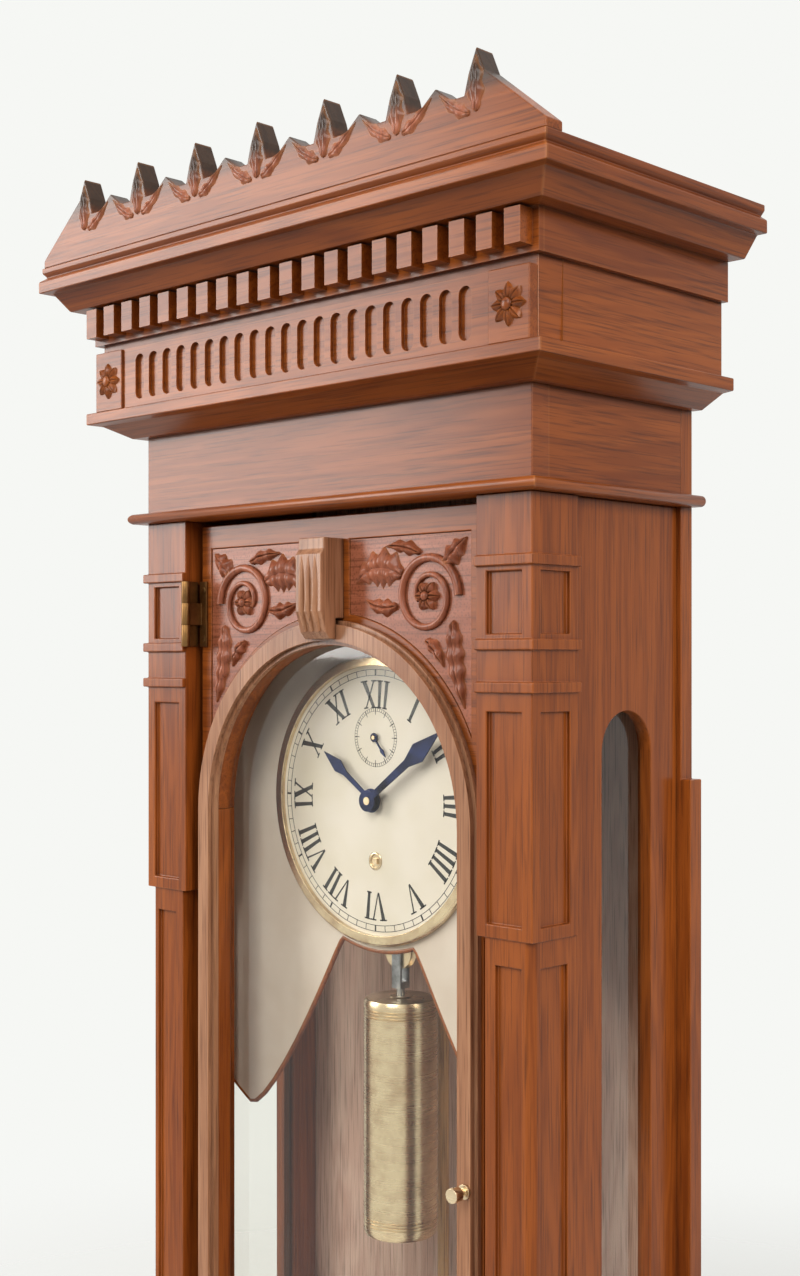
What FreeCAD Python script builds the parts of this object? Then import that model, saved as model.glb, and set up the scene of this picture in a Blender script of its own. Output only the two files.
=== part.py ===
import FreeCAD, Part
import math
import os
import re
import Sketcher

# Wall regulator clock: a glazed wooden case with an arched door, a weight-driven
# movement and a pendulum. Millimetres, +X to the viewer's right, +Z up, front to -Y.
# The origin is the hanger hole, on the wall plane.

V = FreeCAD.Vector
doc = FreeCAD.newDocument("wall_regulator_clock")
sheet = doc.addObject("Spreadsheet::Sheet", "Size")

# Driving sizes. Heights called rise or drop are measured from the dial centre.
SIZES = {
    "case_width": (400, "over the corner posts"),
    "case_depth": (180, "front of the corner posts to the wall"),
    "dial_drop": (330, "dial centre below the hanger hole"),
    "crest_rise": (481, "tips of the cresting"),
    "cornice_rise": (420, "top of the cornice"),
    "head_rise": (395, "top of the head boards"),
    "dentil_rise": (385, "top of the dentil course"),
    "panel_rise": (350, "top of the frieze panel"),
    "frieze_rise": (303, "bottom of the frieze"),
    "neck_rise": (283, "top of the plain neck"),
    "body_rise": (214, "top of the corner posts"),
    "floor_drop": (121, "case floor below the middle of the bob"),
    "back_thick": (14, "backboard"),
    "back_ear": (8, "backboard showing past each side"),
    "ear_rise": (20, "top of the backboard ears"),
    "board_thick": (18, "head and plinth boards"),
    "shelf_thick": (16, "top, floor and bottom boards"),
    "hanger_width": (36, "hanger plate"),
    "hanger_height": (56, "hanger plate"),
    "hanger_thick": (3, "hanger plate"),
    "hanger_hole": (4, "hanger hole radius"),
    "hook_room": (9, "radius of the pocket for the hook head"),
    "hook_depth": (8, "depth of the pocket for the hook head"),
    "post_side": (48, "corner post blocks"),
    "block_drop": (77, "lower end of the upper post block"),
    "block_rise": (87, "groove between die and corbel"),
    "square_low": (115, "lower fillet of the corner square"),
    "square_high": (170, "upper fillet of the corner square"),
    "fillet_height": (7, "raised fillets on the post"),
    "fillet_proud": (3, "raised fillets on the post"),
    "sunk_depth": (3, "sunk fields on the post"),
    "sunk_margin": (9, "border round the sunk fields"),
    "foot_block": (68, "height of the lower post block"),
    "shaft_inset": (2, "post shaft behind the faces of the blocks"),
    "shaft_inner": (6, "post shaft behind the inner face of the blocks"),
    "shaft_corner": (5, "chamfer on the outer corner of the post shaft"),
    "side_inset": (4, "side frame behind the face of the post"),
    "side_thick": (16, "side frame"),
    "window_width": (56, "side window"),
    "window_rise": (70, "crown of the side window"),
    "window_sill": (70, "side window sill over the floor"),
    "rebate": (6, "glazing rebate"),
    "pane": (3, "glass thickness"),
    "pane_play": (0.5, "glass smaller than its rebate"),
    "cornice_reach": (62, "cornice out from the posts"),
    "cornice_bed": (44, "flat under the cornice"),
    "cornice_ovolo": (10, "slope of the cornice bed"),
    "cornice_cove": (5, "cove of the cornice"),
    "cornice_fillet": (2, "top fillet of the cornice"),
    "crest_setback": (3, "cresting behind the cornice edge"),
    "crest_thick": (16, "cresting"),
    "crest_band": (33, "height of the solid band of the cresting"),
    "crest_end": (6, "height of the cresting at its ends"),
    "crest_run": (45, "least run from the end of the cresting to a spike"),
    "crest_pitch": (68, "between spikes"),
    "spike_width": (20, "width of a spike"),
    "knop_width": (26, "width of the low knop between spikes"),
    "knop_height": (10, "height of the low knop over the band"),
    "frieze_reach": (25, "frieze out from the posts"),
    "dentil_height": (28, "dentil course"),
    "dentil_strip": (5, "strip behind the dentils"),
    "dentil_reach": (12, "dentils out from the strip"),
    "dentil_width": (13, "one dentil"),
    "dentil_pitch": (23, "between dentils"),
    "dentil_foot": (4, "dentil over the foot of its strip"),
    "dentil_head": (1.5, "dentil under the top of its strip"),
    "end_block": (34, "frieze end block width"),
    "end_proud": (8, "frieze end block thickness"),
    "panel_thick": (6, "frieze panel"),
    "flute_width": (11, "flute in the frieze panel"),
    "flute_pitch": (17, "between flutes"),
    "flute_depth": (3, "flute in the frieze panel"),
    "flute_margin": (6, "flute to the top and bottom of the panel"),
    "flute_end": (15, "least distance from a flute to the end of the panel"),
    "bead_reach": (35, "frieze moulding out from the posts"),
    "astragal_reach": (12, "astragal out from the posts"),
    "astragal_height": (8, "astragal"),
    "base_height": (24, "base moulding"),
    "base_reach": (30, "base moulding out from the posts"),
    "plinth_height": (56, "plinth boards"),
    "finial_length": (62, "turned drops under the base"),
    "finial_radius": (19, "turned drops under the base"),
    "finial_inset": (30, "drop centre in from the post faces"),
    "mitre_block": (900, "cutting block for the mitres"),
    "door_gap": (4.5, "door to post"),
    "door_lift": (3, "door over the floor"),
    "door_head_gap": (4, "door under the head"),
    "door_recess": (13, "door face behind the post face"),
    "door_thick": (22, "door"),
    "stile_width": (20, "door stile"),
    "arch_drop": (11.5, "spring of the arch below the dial centre"),
    "arch_band": (18, "moulding round the opening"),
    "arch_step": (3, "step of the moulding"),
    "arch_proud": (8, "moulding over the door face"),
    "rail_height": (60, "door bottom rail"),
    "spandrel_side": (11.5, "spandrel to the door edge"),
    "spandrel_gap": (5, "spandrel to the arch moulding"),
    "spandrel_key": (19, "spandrel to the middle of the door"),
    "spandrel_top": (18, "spandrel to the top of the door"),
    "spandrel_sunk": (4, "spandrel recess"),
    "spandrel_thick": (3, "spandrel panel"),
    "spandrel_play": (0.3, "panel smaller than its recess"),
    "keystone_width": (27, "keystone"),
    "keystone_proud": (23, "keystone over the door face"),
    "keystone_top": (17, "keystone to the top of the door"),
    "keystone_foot": (4, "foot of the keystone over the opening"),
    "keystone_seat": (1, "keystone step over the arch moulding"),
    "keystone_cap": (8, "height of the keystone cap"),
    "keystone_inset": (3, "cap behind the keystone face"),
    "keystone_slope": (4, "slope under the cap"),
    "keystone_curl": (20, "height of the curl at the foot"),
    "keystone_chin": (5, "chin of the curl"),
    "keystone_toe": (9, "toe behind the keystone face"),
    "hinge_height": (51, "hinge"),
    "hinge_high": (69, "middle of the upper hinge below the top of the door"),
    "hinge_low": (33, "middle of the lower hinge over the foot of the door"),
    "knuckle_radius": (3.5, "hinge knuckle"),
    "knuckle_out": (3, "hinge pin in front of the posts"),
    "knuckle_in": (4, "hinge pin to the post side"),
    "leaf_thick": (2, "hinge leaf"),
    "leaf_width": (8, "hinge leaf on the door"),
    "pin_radius": (1.5, "hinge pin"),
    "running_gap": (0.06, "radial clearance of a running fit"),
    "latch_drop": (250, "door latch"),
    "latch_inset": (9.5, "latch spindle to the door edge"),
    "latch_radius": (5, "latch knob"),
    "latch_reach": (14, "latch knob out from the arch moulding"),
    "latch_length": (7, "latch knob"),
    "rose_thick": (2, "plate under the latch knob"),
    "spindle_radius": (2.5, "latch spindle"),
    "tongue_length": (26, "latch tongue"),
    "tongue_width": (7, "latch tongue"),
    "tongue_thick": (2, "latch tongue"),
    "tongue_gap": (0.4, "latch tongue behind the post"),
    "dial_depth": (59, "dial face behind the post faces"),
    "dial_margin": (18.5, "bezel inside the door opening"),
    "dial_thick": (2, "dial"),
    "bezel_wall": (4, "bezel outside the dial"),
    "bezel_lip": (4, "bezel over the dial"),
    "bezel_proud": (4, "bezel in front of the dial"),
    "pipe_room": (1, "dial hole round the hour pipe"),
    "key_room": (2, "dial hole round the winding arbor"),
    "second_room": (0.7, "dial hole round the seconds arbor"),
    "plate_front": (78, "front of the front plate behind the post faces"),
    "plate_back": (121, "back of the back plate behind the post faces"),
    "plate_thick": (2.5, "movement plates"),
    "plate_half": (50, "half the width of the movement plates"),
    "plate_rise": (92, "top of the movement plates"),
    "plate_fall": (98, "bottom of the movement plates"),
    "pillar_radius": (4, "movement pillars"),
    "foot_radius": (3, "dial feet"),
    "foot_across": (36, "dial foot to the middle"),
    "foot_inset": (32, "dial foot to the plate edge"),
    "stud_radius": (2, "stud that holds the end of the line"),
    "arbor_radius": (1.5, "thin arbors"),
    "centre_radius": (1.5, "centre arbor"),
    "pivot_end": (0.5, "pivots past the plates"),
    "cannon_radius": (3, "cannon tube"),
    "pipe_radius": (4.4, "hour pipe"),
    "winding_radius": (3, "winding arbor"),
    "wheel_thick": (2, "wheels"),
    "pinion_length": (6, "pinions"),
    "rim_width": (4, "wheel rim inside the pitch line"),
    "centre_hub": (7, "hub of the centre wheel"),
    "third_hub": (6, "hub of the third wheel"),
    "escape_hub": (4, "hub of the escape wheel"),
    "escape_depth": (3.5, "escape wheel teeth"),
    "escape_rim": (2, "escape wheel rim"),
    "great_hub": (24, "hub of the great wheel"),
    "great_layer": (13, "great wheel from the back of the movement"),
    "escape_layer": (17, "escape wheel from the back of the movement"),
    "centre_layer": (23, "centre wheel from the back of the movement"),
    "third_layer": (34, "third wheel from the back of the movement"),
    "cannon_gap": (2.5, "cannon pinion to the front plate"),
    "cannon_length": (4, "cannon pinion"),
    "cannon_proud": (10, "cannon tube in front of the dial"),
    "pipe_proud": (5.5, "hour pipe in front of the dial"),
    "minute_leaf": (6, "minute pinion"),
    "hour_seat": (1, "hour wheel from the end of the minute pinion"),
    "great_module": (0.6, "great wheel and centre pinion"),
    "centre_module": (0.7, "centre wheel and third pinion"),
    "third_module": (0.6, "third wheel and escape pinion"),
    "cannon_module": (0.75, "cannon pinion and minute wheel"),
    "third_across": (16.8, "third arbor right of the centre"),
    "escape_radius": (18, "escape wheel"),
    "second_proud": (3, "seconds arbor in front of the dial"),
    "flex_rise": (80, "pendulum pivot over the centre"),
    "pallet_gap": (2.2, "pallets to the escape wheel"),
    "pallet_width": (3.5, "pallet"),
    "pallet_rise": (3, "pallet shoulder"),
    "pallet_toe": (1, "pallet toe"),
    "anchor_half": (4, "half the width of the anchor crown"),
    "anchor_crown": (5, "anchor crown over its arbor"),
    "anchor_notch": (6, "anchor throat under its arbor"),
    "crutch_gap": (2.5, "crutch behind the back plate"),
    "crutch_thick": (2.5, "crutch"),
    "crutch_half": (2.5, "half the width of the crutch"),
    "crutch_top": (3.5, "crutch over its arbor"),
    "fork_drop": (16, "foot of the crutch fork below the centre"),
    "fork_height": (10, "crutch fork"),
    "fork_wall": (2.5, "crutch fork prong"),
    "fork_gap": (0.3, "fork to the pendulum rod"),
    "line_radius": (0.6, "weight line"),
    "line_wrap": (11, "middle of the line from the drum and pulley centres"),
    "line_gap": (0.3, "line to the drum and pulley"),
    "line_stop": (0.1, "end of the line to its stud"),
    "line_depth": (86, "line and weight behind the post faces"),
    "drum_flange": (16, "drum flange radius"),
    "flange_thick": (2, "drum flange"),
    "drum_gap": (2, "drum to the front plate"),
    "square_proud": (1, "winding square in front of the dial"),
    "ratchet_depth": (2.5, "ratchet teeth"),
    "ratchet_proud": (1.5, "ratchet past the drum flange"),
    "ratchet_gap": (0.3, "ratchet to the great wheel"),
    "click_gap": (3, "click past the drum flange"),
    "click_width": (3, "click"),
    "click_half": (6, "half the length of the click"),
    "pulley_drop": (116, "pulley centre, wound up"),
    "pulley_radius": (13.5, "pulley"),
    "pulley_width": (6, "pulley"),
    "stirrup_drop": (34, "pulley centre to the weight"),
    "stirrup_width": (9, "stirrup"),
    "stirrup_thick": (1.6, "stirrup cheek"),
    "stirrup_gap": (0.4, "stirrup cheek to pulley"),
    "cheek_over": (6, "stirrup cheek over the pulley centre"),
    "bridge_lift": (6, "stirrup bridge over the weight"),
    "bridge_height": (5, "stirrup bridge"),
    "shank_radius": (3, "stirrup shank"),
    "weight_radius": (28, "weight"),
    "weight_length": (172, "weight"),
    "weight_chamfer": (5, "lower edge of the weight"),
    "shoulder_drop": (8, "shoulder of the weight"),
    "shoulder_in": (3, "shoulder of the weight"),
    "shoulder_height": (4, "shoulder of the weight"),
    "collar_radius": (9, "collar of the weight"),
    "collar_tip": (7, "top of the collar"),
    "collar_height": (2, "collar of the weight"),
    "boss_radius": (8, "boss under the weight"),
    "boss_tip": (5, "end of the boss"),
    "boss_length": (8, "boss under the weight"),
    "boss_root": (3, "straight part of the boss"),
    "pendulum_depth": (134, "pendulum behind the post faces"),
    "pendulum_length": (559, "pivot to the middle of the bob"),
    "rod_radius": (4.5, "pendulum rod"),
    "thread_radius": (2.5, "rating thread"),
    "thread_length": (38, "rating thread"),
    "rod_end": (4, "end of the rod over the foot of the bob"),
    "bob_radius": (62, "bob"),
    "bob_half": (12, "half the thickness of the bob"),
    "bob_edge": (2, "half the thickness of the bob rim"),
    "nut_radius": (11, "rating nut"),
    "nut_height": (20, "rating nut"),
    "nut_disc": (10, "wide part of the rating nut"),
    "sleeve_radius": (5.5, "sleeve of the rating nut"),
    "nut_gap": (0.2, "nut to the bob"),
    "spring_thick": (0.3, "suspension spring"),
    "spring_width": (12, "suspension spring"),
    "spring_play": (0.05, "spring in its clip"),
    "spring_grip": (9.6, "spring held in the cock"),
    "clip_drop": (14, "clip below the pivot"),
    "clip_height": (16, "clip"),
    "clip_half": (7, "half the width of the clip"),
    "clip_cover": (1, "clip past the spring"),
    "clip_floor": (6, "clip under the spring"),
    "cock_lift": (4, "cock over the pivot"),
    "cock_cover": (1.5, "cock past the spring"),
    "cock_half": (12, "half the width of the suspension cock"),
    "cock_height": (16, "suspension cock"),
    "cock_slit": (2, "slit for the spring"),
    "slit_height": (12, "slit for the spring"),
    "bracket_arm": (10, "movement bracket arm"),
    "bracket_half": (38, "bracket arm to the middle"),
    "bracket_drop": (60, "bracket arms below the dial centre"),
    "scale_half": (60, "half the width of the beat scale"),
    "scale_height": (22, "beat scale"),
    "scale_thick": (3, "beat scale"),
    "scale_drop": (22, "beat scale below the bob"),
    "minute_margin": (13, "minute hand inside the dial edge"),
    "hour_length": (62, "hour hand"),
    "second_length": (19, "seconds hand"),
    "hour_hub": (9, "boss of the hour hand"),
    "minute_hub": (8, "boss of the minute hand"),
    "second_hub": (3.4, "boss of the seconds hand"),
    "hand_seat": (0.2, "hand behind the end of its tube"),
    "second_lift": (1.2, "seconds hand over the dial"),
    "hand_thick": (1.2, "hands"),
}
for row, (name, (number, note)) in enumerate(SIZES.items(), start=1):
    sheet.set(f"A{row}", name)
    sheet.set(f"B{row}", str(number))
    sheet.setAlias(f"B{row}", name)
    sheet.set(f"C{row}", note)
doc.recompute()

# Tooth counts of the train and the number of arms in a wheel
GREAT_TEETH = 144
CENTRE_LEAVES = 8
CENTRE_TEETH = 80
THIRD_LEAVES = 10
THIRD_TEETH = 80
ESCAPE_LEAVES = 8
ESCAPE_TEETH = 30
CANNON_TEETH = 12
MINUTE_TEETH = 36
MINUTE_LEAVES = 10
HOUR_TEETH = 40
RATCHET_TEETH = 24
CROSSINGS = 5

# Hands at nine minutes past ten
MINUTE_ANGLE = 54
HOUR_ANGLE = 304.5
SECOND_ANGLE = 140

# Pallets to either side of the escape arbor, in degrees from straight up
PALLET_ANGLE = 57

SIZE_WORD = re.compile(r"[a-z][a-z_]+")


def sized(text):
    """An expression with every size name pointing at the sheet."""
    def point(match):
        word = match.group()
        return f"Size.{word}" if word in SIZES else word
    return SIZE_WORD.sub(point, str(text))


def value(text):
    """The number an expression gives now."""
    return float(sheet.evalExpression(sized(text)))


# Levels and planes that many pieces share
SIDE = "(case_width / 2)"
FRONT = "(-case_depth)"
BACK_FACE = "(-back_thick)"
DIAL_Z = "(-dial_drop)"
BODY_TOP = "(body_rise - dial_drop)"
FLEX_Z = "(flex_rise - dial_drop)"
BOB_Z = f"({FLEX_Z} - pendulum_length)"
FLOOR = f"({BOB_Z} - floor_drop)"
HEAD_TOP = "(head_rise - dial_drop)"
POST_IN = f"({SIDE} - post_side)"
POST_REAR = f"({FRONT} + post_side)"
PLINTH_TOP = f"({FLOOR} - shelf_thick)"
PLINTH_FOOT = f"({PLINTH_TOP} - plinth_height)"
DOOR_HALF = f"({POST_IN} - door_gap)"
DOOR_TOP = f"({BODY_TOP} - door_head_gap)"
DOOR_FOOT = f"({FLOOR} + door_lift)"
DOOR_FACE = f"({FRONT} + door_recess)"
DOOR_REAR = f"({DOOR_FACE} + door_thick)"
RAIL_TOP = f"({DOOR_FOOT} + rail_height)"
OPENING = f"({DOOR_HALF} - stile_width)"
SPRING = f"({DIAL_Z} - arch_drop)"
MOULDING_FACE = f"({DOOR_FACE} - arch_proud)"
DIAL_RADIUS = f"({OPENING} - dial_margin - bezel_wall)"


def how_many(room, pitch):
    """How many things at a pitch fit in the room between the first and the last."""
    return 1 + int(value(f"({room}) / {pitch}") + 0.001)


def from_dial(text):
    """A height measured from the dial centre."""
    return f"({text} - dial_drop)"


def behind(text):
    """A depth measured back from the post faces."""
    return f"({FRONT} + {text})"


# Small building functions
TURN = {
    "x": FreeCAD.Rotation(V(0, 1, 0), 90),
    "y": FreeCAD.Rotation(V(1, 0, 0), -90),
    "z": FreeCAD.Rotation(),
}
finished = []


def done(piece):
    """Mark a piece as one to hand in."""
    finished.append(piece)
    return piece


def place(piece, x="0", y="0", z="0", rotation=None):
    if rotation is not None:
        piece.Placement = FreeCAD.Placement(V(), rotation)
    for axis, text in zip("xyz", (x, y, z)):
        piece.setExpression(f"Placement.Base.{axis}", sized(text))
    return piece


def box(label, x_span, y_span, z_span):
    """A board given by its lower and upper limit along each axis."""
    piece = doc.addObject("Part::Box", label)
    spans = (x_span, y_span, z_span)
    for side, (low, high) in zip(("Length", "Width", "Height"), spans):
        piece.setExpression(side, sized(f"({high}) - ({low})"))
    return place(piece, *(span[0] for span in spans))


def even(half):
    """A span centred on zero."""
    return (f"-({half})", f"({half})")


def rod(label, radius, along, across, span):
    """A cylinder along one axis; across gives its place on the other two."""
    piece = doc.addObject("Part::Cylinder", label)
    piece.setExpression("Radius", sized(radius))
    piece.setExpression("Height", sized(f"({span[1]}) - ({span[0]})"))
    spot = dict(zip([axis for axis in "xyz" if axis != along], across))
    spot[along] = span[0]
    return place(piece, spot["x"], spot["y"], spot["z"], TURN[along])


def fuse(label, pieces):
    joined = doc.addObject("Part::MultiFuse", label)
    joined.Shapes = pieces
    joined.Refine = True
    return joined


def cut(label, base, tools):
    left = doc.addObject("Part::Cut", label)
    left.Base = base
    left.Tool = tools[0] if len(tools) == 1 else fuse(f"{label}_tools", tools)
    return left


def common(label, base, tool):
    shared = doc.addObject("Part::Common", label)
    shared.Base = base
    shared.Tool = tool
    return shared


def mirror(label, source):
    """The same piece on the other side of the clock."""
    copy = doc.addObject("Part::Mirroring", label)
    copy.Source = source
    copy.Normal = V(1, 0, 0)
    return copy


def group(label, pieces):
    """Separate solids handed in under one name."""
    compound = doc.addObject("Part::Compound", label)
    compound.Links = pieces
    return compound


def new_body(label):
    return doc.addObject("PartDesign::Body", label)


def origin_plane(body, role):
    return next(item for item in body.Origin.OriginFeatures if item.Role == role)


def arc(u, v, ccw):
    """Marks the step to the next corner as an arc about (u, v)."""
    return {"centre": (u, v), "ccw": ccw}


def add_segment(sketch, start, end, bend):
    """One edge of a loop; returns its number and which end comes first."""
    if bend is None:
        return sketch.addGeometry(Part.LineSegment(V(*start, 0), V(*end, 0))), 1, 2
    centre = [value(text) for text in bend["centre"]]
    radius = math.dist(start, centre)
    first, last = (start, end) if bend["ccw"] else (end, start)
    angles = [math.atan2(p[1] - centre[1], p[0] - centre[0]) for p in (first, last)]
    circle = Part.Circle(V(*centre, 0), V(0, 0, 1), radius)
    number = sketch.addGeometry(Part.ArcOfCircle(circle, *angles))
    return (number, 1, 2) if bend["ccw"] else (number, 2, 1)


def bind(sketch, kind, number, point, text):
    """A distance from the sketch origin, driven by the sheet."""
    index = sketch.addConstraint(
        Sketcher.Constraint(kind, -1, 1, number, point, value(text)))
    sketch.setExpression(f"Constraints[{index}]", sized(text))


def draw_loop(sketch, loop):
    """A closed loop of (u, v) corners, each optionally followed by an arc step."""
    corners = [item for item in loop if isinstance(item, tuple)]
    bends = []
    for index, item in enumerate(loop):
        if isinstance(item, tuple):
            step = loop[(index + 1) % len(loop)]
            bends.append(step if isinstance(step, dict) else None)
    spots = [tuple(value(text) for text in corner) for corner in corners]
    edges = []
    for index, bend in enumerate(bends):
        edges.append(add_segment(sketch, spots[index], spots[(index + 1) % len(spots)], bend))
    for index, (number, first, last) in enumerate(edges):
        after = edges[(index + 1) % len(edges)]
        sketch.addConstraint(Sketcher.Constraint("Coincident", number, last, after[0], after[1]))
    for index, (number, first, last) in enumerate(edges):
        bind(sketch, "DistanceX", number, first, corners[index][0])
        bind(sketch, "DistanceY", number, first, corners[index][1])
        if bends[index] is not None:
            ahead = spots[(index + 1) % len(spots)]
            flat = abs(ahead[0] - spots[index][0]) >= abs(ahead[1] - spots[index][1])
            kind, which = ("DistanceY", 1) if flat else ("DistanceX", 0)
            bind(sketch, kind, number, 3, bends[index]["centre"][which])


def new_sketch(body, name, role, loops=(), circles=(), lift=None):
    """A sketch on one of the body's own planes, lifted along its normal if asked."""
    sketch = body.newObject("Sketcher::SketchObject", name)
    sketch.AttachmentSupport = [(origin_plane(body, role), "")]
    sketch.MapMode = "FlatFace"
    if lift is not None:
        sketch.setExpression("AttachmentOffset.Base.z", sized(lift))
    for loop in loops:
        draw_loop(sketch, loop)
    for u, v, radius in circles:
        spot = V(value(u), value(v), 0)
        number = sketch.addGeometry(Part.Circle(spot, V(0, 0, 1), value(radius)))
        bind(sketch, "DistanceX", number, 3, u)
        bind(sketch, "DistanceY", number, 3, v)
        index = sketch.addConstraint(Sketcher.Constraint("Radius", number, value(radius)))
        sketch.setExpression(f"Constraints[{index}]", sized(radius))
    return sketch


def pad(body, sketch, length, both_ways=False):
    """Thicken a sketch along its normal, or half each way."""
    solid = body.newObject("PartDesign::Pad", f"{body.Label}_pad")
    solid.Profile = sketch
    solid.setExpression("Length", sized(length))
    solid.Midplane = both_ways
    return solid


def pocket(body, sketch, depth, forward=False):
    """Sink a sketch against its normal, or along it."""
    hollow = body.newObject("PartDesign::Pocket", f"{body.Label}_pocket")
    hollow.Profile = sketch
    hollow.setExpression("Length", sized(depth))
    hollow.Reversed = forward
    return hollow


def repeat(body, feature, sketch, axis, length, count):
    """Repeat a feature in a row along a sketch axis."""
    row_of = body.newObject("PartDesign::LinearPattern", f"{body.Label}_row")
    row_of.Originals = [feature]
    row_of.Direction = (sketch, [axis])
    row_of.setExpression("Length", sized(length))
    row_of.Occurrences = count
    body.Tip = row_of
    return row_of


def plate(label, role, loops, length, circles=(), both_ways=False):
    """A flat piece: an outline in one plane, padded."""
    body = new_body(label)
    pad(body, new_sketch(body, f"{label}_outline", role, loops, circles), length, both_ways)
    return body


def turned(label, profile, along="z"):
    """A piece turned on a lathe: (radius, height) corners spun round their own axis."""
    body = new_body(label)
    sketch = new_sketch(body, f"{label}_profile", "XZ_Plane", [profile])
    spin = body.newObject("PartDesign::Revolution", f"{label}_spin")
    spin.Profile = sketch
    spin.ReferenceAxis = (sketch, ["V_Axis"])
    body.Placement = FreeCAD.Placement(V(), TURN[along])
    return body


def rectangle(u_span, v_span):
    return [(u_span[0], v_span[0]), (u_span[1], v_span[0]),
            (u_span[1], v_span[1]), (u_span[0], v_span[1])]


def arched(middle, half, foot, spring):
    """An opening with straight sides and a half-round head."""
    left = f"({middle}) - ({half})"
    right = f"({middle}) + ({half})"
    return [(left, foot), (right, foot), (right, spring), arc(middle, spring, True), (left, spring)]


# Backboard and hanger
ear_top = from_dial("ear_rise")
backboard_outline = [
    (f"-{SIDE}", PLINTH_FOOT), (SIDE, PLINTH_FOOT), (SIDE, FLOOR),
    (f"{SIDE} + back_ear", FLOOR), (f"{SIDE} + back_ear", ear_top), (SIDE, ear_top),
    (SIDE, HEAD_TOP), (f"-{SIDE}", HEAD_TOP), (f"-{SIDE}", ear_top),
    (f"-{SIDE} - back_ear", ear_top), (f"-{SIDE} - back_ear", FLOOR), (f"-{SIDE}", FLOOR),
]
hanger_spans = (even("hanger_width / 2"), ("-hanger_thick", "0"), even("hanger_height / 2"))
done(cut("backboard", plate("backboard_plank", "XZ_Plane", [backboard_outline], "back_thick"), [
    box("hanger_recess", *hanger_spans),
    rod("hook_pocket", "hook_room", "y", ("0", "0"), ("-hanger_thick - hook_depth", "-hanger_thick")),
]))
done(cut("hanger_plate", box("hanger_blank", *hanger_spans), [
    rod("hanger_bore", "hanger_hole", "y", ("0", "0"), ("-hanger_thick", "0")),
]))

# Head box, top, floor and plinth
rear_of_front = f"({FRONT} + board_thick)"
for name, low, high in (("head", BODY_TOP, HEAD_TOP), ("plinth", PLINTH_FOOT, PLINTH_TOP)):
    front_board = box(f"{name}_front", even(SIDE), (FRONT, rear_of_front), (low, high))
    right_board = box(f"{name}_right", (f"{SIDE} - board_thick", SIDE), (rear_of_front, BACK_FACE),
                      (low, high))
    done(group(f"{name}_boards", [front_board, right_board, mirror(f"{name}_left", right_board)]))
done(box("top_board", even(SIDE), (FRONT, "0"), (HEAD_TOP, f"{HEAD_TOP} + shelf_thick")))
done(box("floor_board", even(SIDE), (FRONT, BACK_FACE), (PLINTH_TOP, FLOOR)))
BASE_FOOT = f"({PLINTH_FOOT} - shelf_thick)"
done(box("bottom_board", even(SIDE), (FRONT, "0"), (BASE_FOOT, PLINTH_FOOT)))

# Corner posts: two square blocks and a chamfered shaft between them, all with sunk fields
block_low = from_dial("-block_drop")
foot_top = f"({FLOOR} + foot_block)"
post_x = (POST_IN, SIDE)
post_y = (FRONT, POST_REAR)
proud_x = (POST_IN, f"{SIDE} + fillet_proud")
proud_y = (f"{FRONT} - fillet_proud", POST_REAR)
shaft_in = f"({POST_IN} + shaft_inner)"
shaft_out = f"({SIDE} - shaft_inset)"
shaft_front = f"({FRONT} + shaft_inset)"
shaft = plate("post_shaft", "XY_Plane", [[
    (shaft_in, shaft_front), (f"{shaft_out} - shaft_corner", shaft_front),
    (shaft_out, f"{shaft_front} + shaft_corner"), (shaft_out, POST_REAR), (shaft_in, POST_REAR),
]], f"{block_low} - {foot_top}")
place(shaft, z=foot_top)
post_solids = [
    box("post_block", post_x, post_y, (block_low, BODY_TOP)),
    box("post_foot", post_x, post_y, (FLOOR, foot_top)),
    shaft,
]
for name, rise in (("low", "square_low"), ("high", "square_high"), ("die", "block_rise")):
    middle = from_dial(rise)
    post_solids.append(box(f"post_fillet_{name}", proud_x, proud_y,
                           (f"{middle} - fillet_height / 2", f"{middle} + fillet_height / 2")))
square_z = (from_dial("square_low + fillet_height"), from_dial("square_high - fillet_height"))
die_z = (from_dial("sunk_margin - block_drop"), from_dial("block_rise - fillet_height - sunk_margin"))
foot_z = (f"{FLOOR} + sunk_margin", f"{foot_top} - sunk_margin")
shaft_z = (f"{foot_top} + 2 * sunk_margin", f"{block_low} - 2 * sunk_margin")
sunk_fields = []
for name, span_z, inset, inner in (
    ("square", square_z, "0", "0"),
    ("die", die_z, "0", "0"),
    ("foot", foot_z, "0", "0"),
    ("shaft", shaft_z, "shaft_inset", "shaft_inner"),
):
    sunk_fields.append(box(f"sunk_front_{name}",
                           (f"{POST_IN} + {inner} + sunk_margin", f"{SIDE} - {inset} - sunk_margin"),
                           (f"{FRONT} - fillet_proud", f"{FRONT} + {inset} + sunk_depth"), span_z))
    sunk_fields.append(box(f"sunk_side_{name}", (f"{SIDE} - {inset} - sunk_depth", f"{SIDE} + fillet_proud"),
                           (f"{FRONT} + {inset} + sunk_margin", f"{POST_REAR} - sunk_margin"), span_z))
right_post = done(cut("right_corner_post", fuse("post_solid", post_solids), sunk_fields))
done(mirror("left_corner_post", right_post))

# Glazed side frames
side_inner = f"({SIDE} - side_inset - side_thick)"
window_middle = f"(({POST_REAR} + {BACK_FACE}) / 2)"
window_half = "(window_width / 2)"
window_spring = from_dial("window_rise - window_width / 2")
window_foot = f"({FLOOR} + window_sill)"


def side_opening(grow):
    """The side window, larger all round by a given amount."""
    return arched(window_middle, f"{window_half} + {grow}", f"{window_foot} - ({grow})", window_spring)


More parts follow.
